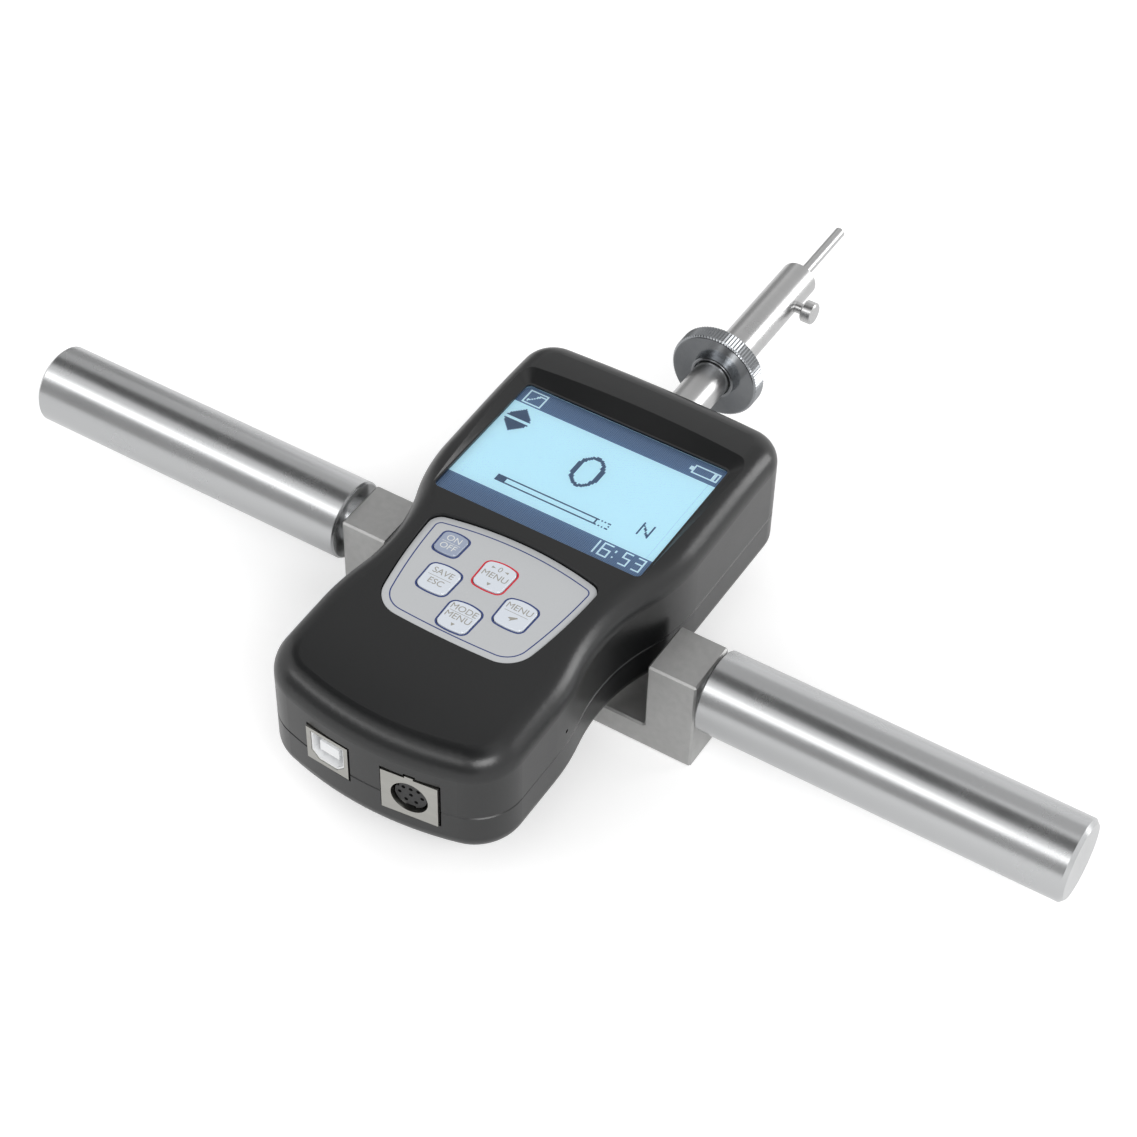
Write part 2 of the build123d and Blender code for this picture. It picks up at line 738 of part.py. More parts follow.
# ---------------------------------------------------------------- load path
def load_cell():
    """Beam with two opposed slots: the web between them bends under the measured force."""
    half_h = cell_height / 2
    body = block((-cell_width / 2, cell_width / 2), (cell_back_y, cell_front_y),
                 (rod_z - half_h, rod_z + half_h))
    third = cell_length / 3
    for station, sign in ((third, 1), (2 * third, -1)):
        y = cell_back_y + station
        z_range = sorted((rod_z - sign * (half_h - cell_web), rod_z + sign * (half_h + overshoot)))
        body -= block((-cell_width, cell_width), (y - cell_slot / 2, y + cell_slot / 2), z_range)
        body -= cylinder_x(cell_slot, -cell_width, cell_width, y, rod_z)
    body -= cylinder_y(rod_stud_diameter / 2 + seated_clearance,
                       cell_front_y - thread_engagement - drill_room, cell_front_y + overshoot, z=rod_z)
    body -= cylinder_y(cell_screw_diameter / 2 + seated_clearance, cell_back_y - overshoot,
                       cell_back_y + cell_screw_reach + drill_room, z=rod_z)
    return body


def chassis():
    """Angle bracket on the housing floor that ties the load cell to the U-bracket."""
    half = chassis_width / 2
    floor = block((-half, half), (chassis_back_y, chassis_front_y), (floor_z, chassis_top))
    wall_y = (cell_back_y - chassis_upright, cell_back_y)
    side = cell_width / 2
    upright = block((-side, side), wall_y, (floor_z, rod_z + cell_height / 2 - upright_drop))
    frame = floor + upright
    gusset = Polyline((cell_back_y, chassis_top), (cell_back_y + gusset_size, chassis_top),
                      (cell_back_y, chassis_top + gusset_size), close=True)
    for sign in (-1, 1):
        web_x = sorted((sign * side, sign * (side + gusset_reach)))
        frame += block(web_x, wall_y, (floor_z, chassis_top + gusset_size))
        gusset_x = max(web_x) if sign > 0 else min(web_x) + gusset_thickness
        frame += extrude(Plane.YZ.offset(gusset_x - gusset_thickness) * make_face(gusset),
                         gusset_thickness)
    frame -= cylinder_y(cell_screw_diameter / 2 + free_clearance, wall_y[0] - overshoot,
                        wall_y[1] + overshoot, z=rod_z)
    for x, y in bracket_screw_places():
        frame -= cylinder_z(m3_radius + seated_clearance, floor_z - overshoot,
                            chassis_top + overshoot, x, y)
    # the floor is lightened under the cell
    slot = (cell_back_y + chassis_slot_start, chassis_front_y - chassis_slot_end)
    frame -= block((-chassis_slot_half_width, chassis_slot_half_width), slot,
                   (floor_z - overshoot, chassis_top + overshoot))
    return frame


def cell_screw():
    back = cell_back_y - chassis_upright
    head_y = back - cell_screw_head_length
    shank = cylinder_y(cell_screw_diameter / 2, back, cell_back_y + cell_screw_reach, z=rod_z)
    head = cylinder_y(cell_screw_head / 2, head_y, back, z=rod_z)
    recess = Rot(90, 0, 0) * extrude(RegularPolygon(cell_screw_key, 6), cell_screw_head_length / 2,
                                     both=True)
    return shank + head - Pos(0, head_y, rod_z) * recess


def sensor_rod():
    """Polished rod with a threaded stud at each end, screwed into the load cell."""
    radius, stud, broken = rod_diameter / 2, rod_stud_diameter / 2, thread_chamfer
    start_y = cell_front_y - thread_engagement
    step_y = nut_back_y + nut_counterbore_depth - nut_counterbore_clearance
    return turned_part([
        (0, start_y), (stud - broken, start_y), (stud, start_y + broken),
        (stud, cell_front_y), (radius, cell_front_y), (radius, step_y - broken),
        (radius - broken, step_y), (stud, step_y), (stud, stud_end_y - broken),
        (stud - broken, stud_end_y), (0, stud_end_y)], rod_z)


def lock_nut():
    """Knurled nut: dished back with a low hub round the rod, flat front against the adapter."""
    rim, hub = nut_diameter / 2, nut_hub_diameter / 2
    bore = rod_stud_diameter / 2 + running_clearance
    counterbore = rod_diameter / 2 + nut_counterbore_clearance
    front_y, step_y = nut_back_y + nut_thickness, nut_back_y + nut_counterbore_depth
    dish_y, hub_y = nut_back_y + nut_dish, nut_back_y - nut_hub_length
    return turned_part([
        (bore, front_y), (rim - nut_front_chamfer, front_y), (rim, front_y - nut_front_chamfer),
        (rim, nut_back_y + nut_back_chamfer), (rim - nut_back_chamfer, nut_back_y),
        (hub + nut_dish_land, dish_y), (hub, dish_y), (hub, hub_y),
        (counterbore, hub_y), (counterbore, step_y), (bore, step_y)], rod_z)


def adapter_sleeve():
    """Chuck for the probe: threaded bore at the back, plain bore and clamp screw in front."""
    radius = adapter_diameter / 2
    thread = rod_stud_diameter / 2 + running_clearance
    bore = pin_shank_diameter / 2 + running_clearance
    bore_end = pin_back_y - drill_room / 2
    thread_end = adapter_back_y + thread_engagement + drill_room
    sleeve = turned_part([
        (thread, adapter_back_y), (radius - adapter_back_chamfer, adapter_back_y),
        (radius, adapter_back_y + adapter_back_chamfer), (radius, adapter_front_y - adapter_chamfer),
        (radius - adapter_chamfer, adapter_front_y), (bore, adapter_front_y), (bore, bore_end),
        (0, bore_end), (0, thread_end), (thread, thread_end)], rod_z)
    hole = cylinder_x(thumb_shank / 2 + running_clearance, 0, radius + overshoot, thumb_y, rod_z)
    return sleeve - hole


def probe_pin():
    """Pin with a thicker shank in the adapter, a slim free part and a pointed end."""
    radius, shank = pin_diameter / 2, pin_shank_diameter / 2
    tip_y = adapter_front_y + pin_free_length
    step_y = adapter_front_y + pin_shoulder
    return turned_part([
        (0, pin_back_y), (shank - pin_back_chamfer, pin_back_y), (shank, pin_back_y + pin_back_chamfer),
        (shank, step_y - pin_step), (radius, step_y), (radius, tip_y - radius), (0, tip_y)], rod_z)


def thumb_screw():
    """Clamp screw: slim shank through the sleeve onto the pin, round grip outside."""
    start = pin_shank_diameter / 2 + running_clearance
    neck_end = adapter_diameter / 2 + thumb_neck
    shank = cylinder_x(thumb_shank / 2, start, neck_end, thumb_y, rod_z)
    grip = cylinder_x(thumb_diameter / 2, neck_end, neck_end + thumb_length, thumb_y, rod_z)
    grip = chamfer(grip.edges(), thumb_chamfer)
    return shank + grip


# ---------------------------------------------------------------- bracket and handles
def bracket_screw_places():
    return [(sx * bracket_screw_x, sy * bracket_screw_y) for sx in (-1, 1) for sy in (-1, 1)]


def bracket():
    """U-shaped yoke milled from one bar, drilled for the handle studs and the gauge screws."""
    half = bracket_width / 2
    body = block((-half, half), (-bracket_depth / 2, bracket_depth / 2), (0, bracket_height))
    body -= block((-inner_half, inner_half), (-bracket_depth, bracket_depth),
                  (base_thickness, bracket_height + overshoot))
    body = chamfer(body.edges(), bracket_chamfer)
    body -= cylinder_x(stud_diameter / 2 + seated_clearance, -half - overshoot, half + overshoot,
                       0, handle_z)
    for x, y in bracket_screw_places():
        body -= cylinder_z(m3_radius + free_clearance, -overshoot, base_thickness + overshoot, x, y)
        body -= cylinder_z(m3_head_radius + free_clearance, -overshoot,
                           m3_head_length + m3_head_recess, x, y)
    return body


def bracket_spacer():
    half = spacer_length / 2
    plate = block((-half, half), (-bracket_depth / 2, bracket_depth / 2),
                  (base_thickness, housing_bottom))
    plate = fillet(upright_edges(plate), spacer_corner)
    for x, y in bracket_screw_places():
        plate -= cylinder_z(m3_radius + free_clearance, 0, housing_bottom + overshoot, x, y)
    return plate


def handle(sign):
    """Turned bar with a short neck against the arm and a broken edge at each end."""
    radius = handle_diameter / 2
    start = bracket_width / 2
    inner, end = start + neck_length, start + neck_length + handle_length
    bore = stud_diameter / 2 + seated_clearance
    bore_end = start + stud_in_handle + drill_room
    profile = [
        (start, bore), (start, neck_diameter / 2), (inner, neck_diameter / 2),
        (inner, radius - handle_inner_chamfer), (inner + handle_inner_chamfer, radius),
        (end - handle_end_chamfer, radius), (end, radius - handle_end_chamfer), (end, 0),
        (bore_end, 0), (bore_end, bore)]
    outline = Polyline([(sign * x, r) for x, r in profile], close=True)
    return Pos(0, 0, handle_z) * revolve(make_face(outline), Axis.X, 360)


def handle_studs():
    """One grub stud per side, from inside the arm into the handle."""
    start, end = inner_half + stud_recess, bracket_width / 2 + stud_in_handle
    right = cylinder_x(stud_diameter / 2, start, end, 0, handle_z)
    right = chamfer(right.edges(), stud_chamfer)
    return Compound(children=[right, mirror(right, about=Plane.YZ)])


# ---------------------------------------------------------------- screws
def cap_screws(places, radius, z_tip, head_radius, z_under, z_head, recessed=True):
    """Screws of one kind as a group: shank from under the head to the tip, hexagon recess."""
    solids = []
    for x, y in places:
        shank = cylinder_z(radius, *sorted((z_under, z_tip)), x, y)
        head = cylinder_z(head_radius, *sorted((z_under, z_head)), x, y)
        screw = shank + head
        if recessed:
            hexagon = Pos(x, y, z_head) * RegularPolygon(head_radius / 2, 6)
            screw -= extrude(hexagon, (z_under - z_head) / 2)
        solids.append(screw)
    return Compound(children=solids)


def screw_groups():
    case_head_z = housing_bottom + case_head_recess
    return {
        "bracket_screws": cap_screws(bracket_screw_places(), m3_radius, chassis_top, m3_head_radius,
                                     m3_head_length + m3_head_recess, m3_head_recess),
        "case_screws": cap_screws(case_screw_places, case_screw_radius, parting + case_screw_reach,
                                  case_head_radius, case_head_z + case_head_length, case_head_z),
        "board_screws": cap_screws(board_screw_places, board_screw_radius,
                                   board_top + board_screw_reach, board_head_radius, board_bottom,
                                   board_bottom - board_head_length, recessed=False),
        "socket_board_screws": cap_screws(socket_board_places, board_screw_radius,
                                          floor_z + socket_screw_reach, board_head_radius, socket_board_top,
                                          socket_board_top + board_head_length, recessed=False),
    }


# ---------------------------------------------------------------- the whole assembly
def assembly():
    """Every node of the gauge by name."""
    nodes = {
        "upper_housing": upper_housing(),
        "lower_housing": lower_housing(),
        "circuit_board": circuit_board(),
        "socket_board": socket_board(),
        "battery_pack": battery_pack(),
        "load_cell": load_cell(),
        "chassis": chassis(),
        "cell_screw": cell_screw(),
        "sensor_rod": sensor_rod(),
        "lock_nut": lock_nut(),
        "adapter_sleeve": adapter_sleeve(),
        "probe_pin": probe_pin(),
        "thumb_screw": thumb_screw(),
        "bracket": bracket(),
        "bracket_spacer": bracket_spacer(),
        "left_handle": handle(-1),
        "right_handle": handle(1),
        "handle_studs": handle_studs(),
    }
    for group in (display_parts(), keypad_parts(), keys(), usb_socket(), data_socket(), screw_groups()):
        nodes.update(group)
    return nodes


def main():
    os.makedirs("parts", exist_ok=True)
    for name, shape in assembly().items():
        export_step(shape, f"parts/{name}.step")


main()
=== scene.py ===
# %% [markdown]
# # Finishing a hand-held force gauge
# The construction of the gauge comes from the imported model: two moulded shells, a display, a
# keypad, a U-bracket with two turned handles, and a measuring rod with its nut, adapter and pin.
# This lesson adds what construction drawings leave out: knurling, printed outlines and legends,
# what the display shows, and a procedural material for every surface.

# %% Load the model as a fixed frame
import math

import bmesh
import bpy
from mathutils import Matrix, Vector


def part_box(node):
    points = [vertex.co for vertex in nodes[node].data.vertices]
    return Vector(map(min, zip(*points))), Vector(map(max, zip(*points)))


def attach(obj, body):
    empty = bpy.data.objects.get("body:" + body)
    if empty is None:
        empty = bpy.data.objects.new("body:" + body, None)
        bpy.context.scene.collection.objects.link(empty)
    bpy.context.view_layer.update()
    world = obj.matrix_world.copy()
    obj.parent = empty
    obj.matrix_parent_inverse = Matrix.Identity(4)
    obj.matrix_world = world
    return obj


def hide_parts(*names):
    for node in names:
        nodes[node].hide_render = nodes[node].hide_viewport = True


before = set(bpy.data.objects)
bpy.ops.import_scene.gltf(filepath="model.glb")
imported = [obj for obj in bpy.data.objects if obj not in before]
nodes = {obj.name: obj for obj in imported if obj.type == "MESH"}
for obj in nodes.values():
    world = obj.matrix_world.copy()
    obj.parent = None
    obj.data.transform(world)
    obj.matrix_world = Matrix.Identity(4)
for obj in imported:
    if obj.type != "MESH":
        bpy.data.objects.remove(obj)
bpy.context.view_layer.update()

MM = 0.001
print(len(nodes), "nodes from the model")

# %% [markdown]
# ## Places that everything else is measured from
# New pieces must sit on the model exactly, so their places are read from the model's own boxes.
# If the model changes, the printed film, the legends and the display content follow.

# %% Read the places from the model
glass_low, glass_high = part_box("display_glass")
panel_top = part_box("display_panel")[1].z
film_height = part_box("keypad_film")[1].z
nut_low, nut_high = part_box("lock_nut")
rod_low, rod_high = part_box("sensor_rod")
key_names = ["key_power", "key_zero", "key_save", "key_menu", "key_mode"]
key_boxes = {name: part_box(name) for name in key_names}
key_body = {name: name[4:] + "_key" for name in key_names}
window_centre = (glass_low + glass_high) / 2
axis_height = (nut_low.z + nut_high.z) / 2
print("window centre", [round(v / MM, 2) for v in window_centre])


def key_middle(name):
    """Middle of a key's top face. The key's flange is wider, but it has the same middle."""
    low, high = key_boxes[name]
    return Vector(((low.x + high.x) / 2, (low.y + high.y) / 2, high.z))


# %% [markdown]
# ## Small tools
# A colour is easiest to judge as the 0-255 numbers of a paint chart, but shaders want linear light.
# The first helper converts one into the other. The next ones start a material and link its nodes,
# so that each finish below stays short enough to read at a glance.

# %% Helpers for colours and nodes
def paint(red, green, blue):
    """Linear colour from ordinary 0-255 screen values."""
    def linear(value):
        value /= 255
        return value / 12.92 if value <= 0.04045 else ((value + 0.055) / 1.055) ** 2.4
    return (linear(red), linear(green), linear(blue), 1.0)


def start_material(name, roughness=0.5, metallic=0.0):
    """A new node material. Returns it with its tree and its Principled shader."""
    material = bpy.data.materials.new(name)
    material.use_nodes = True
    tree = material.node_tree
    shader = tree.nodes["Principled BSDF"]
    shader.inputs["Roughness"].default_value = roughness
    shader.inputs["Metallic"].default_value = metallic
    return material, tree, shader


def place_group(tree, group_tree, **values):
    """Puts a shader node group into a material and sets its inputs."""
    node = tree.nodes.new("ShaderNodeGroup")
    node.node_tree = group_tree
    for label, value in values.items():
        node.inputs[label.replace("_", " ")].default_value = value
    return node


def between(tree, factor, first, second):
    """A colour mixed from two colours by a mask socket."""
    mix = tree.nodes.new("ShaderNodeMix")
    mix.data_type = "RGBA"
    tree.links.new(factor, mix.inputs["Factor"])
    mix.inputs["A"].default_value = first
    mix.inputs["B"].default_value = second
    return mix.outputs["Result"]


def spread(tree, value, low, high, start=0.0, end=1.0):
    """A socket that runs from start to end, stretched to run from low to high."""
    node = tree.nodes.new("ShaderNodeMapRange")
    tree.links.new(value, node.inputs["Value"])
    node.inputs["From Min"].default_value = start
    node.inputs["From Max"].default_value = end
    node.inputs["To Min"].default_value = low
    node.inputs["To Max"].default_value = high
    return node.outputs["Result"]


def bump(tree, shader, height, distance):
    """Lets a height socket tilt the shader's normal. The distance is the depth in metres."""
    node = tree.nodes.new("ShaderNodeBump")
    node.inputs["Distance"].default_value = distance
    tree.links.new(height, node.inputs["Height"])
    tree.links.new(node.outputs["Normal"], shader.inputs["Normal"])


# %% [markdown]
# ## Effects that several finishes share
# Moulded grain, tool marks from a lathe, and the uneven gloss that hands and cloths leave are each
# built once as a node group. A group is like a function: named inputs go in, masks come out,
# and every material sets its own depth and scale.

# %% Helper that starts a node group
def start_group(name, floats, vectors=(), outputs=("Mask",)):
    """A new node group with named inputs and outputs. Returns it with its two end nodes."""
    tree = bpy.data.node_groups.new(name, "ShaderNodeTree")
    for label, value in floats.items():
        socket = tree.interface.new_socket(label, in_out="INPUT", socket_type="NodeSocketFloat")
        socket.default_value = value
    for label in vectors:
        tree.interface.new_socket(label, in_out="INPUT", socket_type="NodeSocketVector")
    for label in outputs:
        tree.interface.new_socket(label, in_out="OUTPUT", socket_type="NodeSocketFloat")
    return tree, tree.nodes.new("NodeGroupInput"), tree.nodes.new("NodeGroupOutput")


def noise_node(tree, coordinates, scale, detail=2.0, roughness=0.5):
    """The value of a noise texture over coordinates."""
    node = tree.nodes.new("ShaderNodeTexNoise")
    node.inputs["Detail"].default_value = detail
    node.inputs["Roughness"].default_value = roughness
    tree.links.new(coordinates, node.inputs["Vector"])
    tree.links.new(scale, node.inputs["Scale"])
    return node.outputs["Fac"]


# %% Helpers for arithmetic nodes
def operate(tree, kind, operation, *inputs):
    """A Math or VectorMath node on inputs that are sockets or plain values. Returns the node."""
    node = tree.nodes.new(kind)
    node.operation = operation
    for socket, value in zip(node.inputs, inputs):
        if isinstance(value, bpy.types.NodeSocket):
            tree.links.new(value, socket)
        else:
            socket.default_value = value
    return node


def maths(tree, operation, *inputs):
    """The value of a Math node on sockets or plain numbers."""
    return operate(tree, "ShaderNodeMath", operation, *inputs).outputs["Value"]


def vector_maths(tree, operation, *inputs, output="Vector"):
    """The vector of a VectorMath node, or its value, as the length has."""
    return operate(tree, "ShaderNodeVectorMath", operation, *inputs).outputs[output]


def object_place(tree):
    """The object's own coordinates, so that a pattern stays on its piece."""
    return tree.nodes.new("ShaderNodeTexCoord").outputs["Object"]


# %% Group: grain of moulded plastic
grain_group, grain_in, grain_out = start_group("fine_grain", {"Scale": 2500.0})
grain_noise = noise_node(
    grain_group, object_place(grain_group), grain_in.outputs["Scale"],
    detail=3.0, roughness=0.6)
grain_group.links.new(grain_noise, grain_out.inputs["Mask"])

# %% Group: uneven gloss, in soft patches a few centimetres across
patch_group, patch_in, patch_out = start_group("handled_patches", {"Scale": 35.0})
patch_noise = noise_node(
    patch_group, object_place(patch_group), patch_in.outputs["Scale"],
    detail=4.0, roughness=0.65)
patch_group.links.new(patch_noise, patch_out.inputs["Mask"])

# %% Group: lines left by a turning or grinding tool
# The object's coordinates are stretched before the noise reads them: large across the lines,
# small along them, so the noise is drawn out into fine streaks.
broad_share = 0.16           # scale of the broad streaks, as a share of the fine ones
line_group, line_in, line_out = start_group(
    "tool_lines", {"Scale": 1.0}, vectors=("Stretch",), outputs=("Fine", "Broad"))
line_stretch = vector_maths(
    line_group, "MULTIPLY", object_place(line_group), line_in.outputs["Stretch"])
line_fine = noise_node(line_group, line_stretch, line_in.outputs["Scale"],
                       detail=3.0, roughness=0.7)
line_broad_scale = maths(line_group, "MULTIPLY", line_in.outputs["Scale"], broad_share)
line_broad = noise_node(line_group, line_stretch, line_broad_scale)
line_group.links.new(line_fine, line_out.inputs["Fine"])
line_group.links.new(line_broad, line_out.inputs["Broad"])

# %% Group: rings that a facing tool leaves on a flat turned face
# The distance from the axis takes the place of the stretched coordinates, so the marks are circles.
across_axis = (1.0, 0.0, 1.0)
facing_group, facing_in, facing_out = start_group(
    "facing_rings", {"Scale": 3000.0}, vectors=("Centre",))
facing_offset = vector_maths(
    facing_group, "SUBTRACT", object_place(facing_group), facing_in.outputs["Centre"])
facing_flat = vector_maths(facing_group, "MULTIPLY", facing_offset, across_axis)
facing_radius = vector_maths(facing_group, "LENGTH", facing_flat, output="Value")
facing_line = facing_group.nodes.new("ShaderNodeCombineXYZ")
facing_group.links.new(facing_radius, facing_line.inputs["X"])
facing_marks = noise_node(
    facing_group, facing_line.outputs["Vector"], facing_in.outputs["Scale"],
    roughness=0.6)
facing_group.links.new(facing_marks, facing_out.inputs["Mask"])

# %% Group: the fine raster of a dot-matrix display
# Each dot is a little square with a thin gap. A sawtooth along X and one along Y, each compared
# with the gap's share, draw the two sets of gaps.
raster_group, raster_in, raster_out = start_group(
    "display_raster", {"Pitch": 0.45 * MM, "Gap": 0.16})
raster_split = raster_group.nodes.new("ShaderNodeSeparateXYZ")
raster_group.links.new(object_place(raster_group), raster_split.inputs["Vector"])


def raster_lines(axis):
    """Mask of the gaps that cross one axis."""
    share = maths(raster_group, "DIVIDE", raster_split.outputs[axis], raster_in.outputs["Pitch"])
    wave = maths(raster_group, "FRACT", share)
    return maths(raster_group, "LESS_THAN", wave, raster_in.outputs["Gap"])


raster_both = maths(raster_group, "MAXIMUM", raster_lines("X"), raster_lines("Y"))
raster_group.links.new(raster_both, raster_out.inputs["Mask"])
print("node groups:", [group.name for group in bpy.data.node_groups])

# %% [markdown]
# ## Plastic finishes
# The shells are moulded with a spark-eroded grain: fine enough to feel silky, deep enough to
# spread every highlight into a soft band. A noise bump about a hundredth of a millimetre deep does
# that, and patches of slightly different roughness keep large faces from looking computed.

# %% Moulded and printed plastics
hand_patch_scale = 35.0
plastic_gloss_spread = 0.06


def moulded_plastic(name, colour, roughness, grain_mm, grain_scale, tint,
                    coat=0.0, sheen_level=0.5):
    """Plastic with moulded grain and handled patches. The tint is how much the grain darkens it."""
    material, tree, shader = start_material(name, roughness)
    grain = place_group(tree, grain_group, Scale=grain_scale)
    patches = place_group(tree, patch_group, Scale=hand_patch_scale)
    darker = tuple(channel * (1 - tint) for channel in colour[:3]) + (1.0,)
    tone = between(tree, grain.outputs["Mask"], darker, colour)
    tree.links.new(tone, shader.inputs["Base Color"])
    gloss = spread(tree, patches.outputs["Mask"],
                   roughness - plastic_gloss_spread, roughness + plastic_gloss_spread)
    tree.links.new(gloss, shader.inputs["Roughness"])
    shader.inputs["Coat Weight"].default_value = coat
    shader.inputs["Specular IOR Level"].default_value = sheen_level
    bump(tree, shader, grain.outputs["Mask"], grain_mm * MM)
    return material


# each line: name, colour, roughness, depth of the grain in mm, its scale, its tint
housing_plastic = moulded_plastic("housing_plastic", paint(17, 18, 19), 0.3, 0.014, 2600.0, 0.35,
                                  sheen_level=0.6)
film_print = moulded_plastic("film_print", paint(184, 186, 188), 0.4, 0.01, 3500.0, 0.04)
key_white = moulded_plastic("key_white", paint(208, 214, 222), 0.3, 0.008, 3000.0, 0.03, coat=0.3)
key_grey = moulded_plastic("key_grey", paint(150, 160, 180), 0.3, 0.008, 3000.0, 0.05, coat=0.3)
socket_white = moulded_plastic("socket_white", paint(240, 241, 242), 0.4, 0.01, 1500.0, 0.05)
socket_black = moulded_plastic("socket_black", paint(24, 24, 25), 0.38, 0.01, 1500.0, 0.15)
board_green = moulded_plastic("board_green", paint(24, 92, 52), 0.35, 0.02, 900.0, 0.35)
tray_white = moulded_plastic("tray_white", paint(228, 228, 222), 0.5, 0.01, 1200.0, 0.04)
cell_wrap = moulded_plastic("cell_wrap", paint(36, 120, 76), 0.28, 0.02, 400.0, 0.1, coat=0.4)
outline_navy = moulded_plastic("outline_navy", paint(44, 62, 118), 0.4, 0.005, 3000.0, 0.1)
outline_red = moulded_plastic("outline_red", paint(206, 30, 52), 0.4, 0.005, 3000.0, 0.08)
legend_grey = moulded_plastic("legend_grey", paint(154, 151, 143), 0.45, 0.005, 3000.0, 0.1)
legend_pale = moulded_plastic("legend_pale", paint(214, 216, 214), 0.45, 0.005, 3000.0, 0.06)
print("plastics:", len(bpy.data.materials))

# %% [markdown]
# ## Metal finishes
# Turned steel keeps the rings of the tool that cut it, the bracket was ground and blasted to an
# even grey, and the nickel on the sockets is plated over pressed sheet. All are metals at heart,
# so they differ only in roughness, in the direction of their marks and in how deep these are.

# %% Turned, ground and plated metals
metal_patch_scale = 60.0
smoother, rougher = 0.05, 0.07
drawn_along_x = (30.0, 1100.0, 1100.0)
rings_about_y = (60.0, 3600.0, 60.0)
milled_across = (400.0, 7000.0, 400.0)
pressed_sheet = (600.0, 600.0, 5000.0)
no_direction = (3000.0, 3000.0, 3000.0)


def worked_metal(name, colour, roughness, stretch, depth_mm, streak=0.15):
    """Metal with tool marks drawn out by a stretch vector. The streak is how much they darken."""
    material, tree, shader = start_material(name, roughness, metallic=1.0)
    lines = place_group(tree, line_group, Stretch=stretch)
    patches = place_group(tree, patch_group, Scale=metal_patch_scale)
    darker = tuple(channel * (1 - streak) for channel in colour[:3]) + (1.0,)
    tone = between(tree, lines.outputs["Broad"], darker, colour)
    tree.links.new(tone, shader.inputs["Base Color"])
    gloss = spread(tree, patches.outputs["Mask"], roughness - smoother, roughness + rougher)
    tree.links.new(gloss, shader.inputs["Roughness"])
    bump(tree, shader, lines.outputs["Fine"], depth_mm * MM)
    return material


# each line: name, colour, roughness, direction of the marks, their depth in mm
handle_steel = worked_metal("handle_steel", paint(198, 199, 200), 0.25, drawn_along_x, 0.004)
rod_steel = worked_metal("rod_steel", paint(196, 196, 196), 0.28, rings_about_y, 0.006, 0.08)
bracket_steel = worked_metal("bracket_steel", paint(194, 194, 193), 0.5, no_direction, 0.012, 0.2)
nickel_plate = worked_metal("nickel_plate", paint(178, 177, 172), 0.32, pressed_sheet, 0.004)
screw_steel = worked_metal("screw_steel", paint(120, 120, 122), 0.38, no_direction, 0.01)
milled_aluminium = worked_metal(
    "milled_aluminium", paint(205, 207, 210), 0.38, milled_across, 0.01)

# %% The lock nut's steel, with rings on its faces
nut_steel, nut_tree, nut_shader = start_material("nut_steel", metallic=1.0)
nut_marks = place_group(nut_tree, facing_group, Scale=3000.0, Centre=(0.0, 0.0, axis_height))
nut_patches = place_group(nut_tree, patch_group, Scale=90.0).outputs["Mask"]
nut_tone = between(nut_tree, nut_patches, paint(132, 135, 139), paint(166, 168, 170))
nut_tree.links.new(nut_tone, nut_shader.inputs["Base Color"])
nut_tree.links.new(spread(nut_tree, nut_patches, 0.16, 0.26), nut_shader.inputs["Roughness"])
bump(nut_tree, nut_shader, nut_marks.outputs["Mask"], 0.012 * MM)

# %% [markdown]
# ## Display finishes
# The liquid crystal panel is lit from behind, so part of its colour is light that it gives off.
# The cover is clear acrylic. It's made mostly transparent instead of refractive, because a flat
# sheet bends nothing that can be seen, and light from the lamps then still reaches the panel.

# %% Panel, ink and cover
def display_colour(name, colour, glow, gap_colour, raster_gap):
    """A display tone: a dot raster over a plain colour, partly lit from behind."""
    material, tree, shader = start_material(name, 0.45)
    raster = place_group(tree, raster_group, Gap=raster_gap)
    tone = between(tree, raster.outputs["Mask"], colour, gap_colour)
    tree.links.new(tone, shader.inputs["Base Color"])
    tree.links.new(tone, shader.inputs["Emission Color"])
    shader.inputs["Emission Strength"].default_value = glow
    return material


# each line: name, colour, glow, colour of the gaps between dots, their share
panel_tone = display_colour("panel_tone", paint(190, 223, 235), 0.56, paint(182, 216, 229), 0.14)
bar_tone = display_colour("bar_tone", paint(58, 84, 124), 0.3, paint(104, 136, 174), 0.24)
ink_tone = display_colour("ink_tone", paint(44, 66, 100), 0.3, paint(60, 84, 120), 0.14)
light_tone = display_colour("light_tone", paint(205, 232, 244), 0.5, paint(170, 205, 226), 0.14)

acrylic_ior = 1.49
cover_clear, cover_tree, cover_shader = start_material("cover_clear")
cover_shader.inputs["Base Color"].default_value = paint(225, 238, 240)
cover_shader.inputs["IOR"].default_value = acrylic_ior
cover_patches = place_group(cover_tree, patch_group, Scale=50.0)
cover_tree.links.new(spread(cover_tree, cover_patches.outputs["Mask"], 0.06, 0.16),
                     cover_shader.inputs["Roughness"])
cover_fresnel = cover_tree.nodes.new("ShaderNodeFresnel")
cover_fresnel.inputs["IOR"].default_value = acrylic_ior
cover_tree.links.new(cover_fresnel.outputs["Fac"], cover_shader.inputs["Alpha"])

# %% [markdown]
# ## Dressing the pieces of the model
# Most pieces have their true shape already. Each gets its finish by filling its material slot,
# which leaves the mesh as it was made.

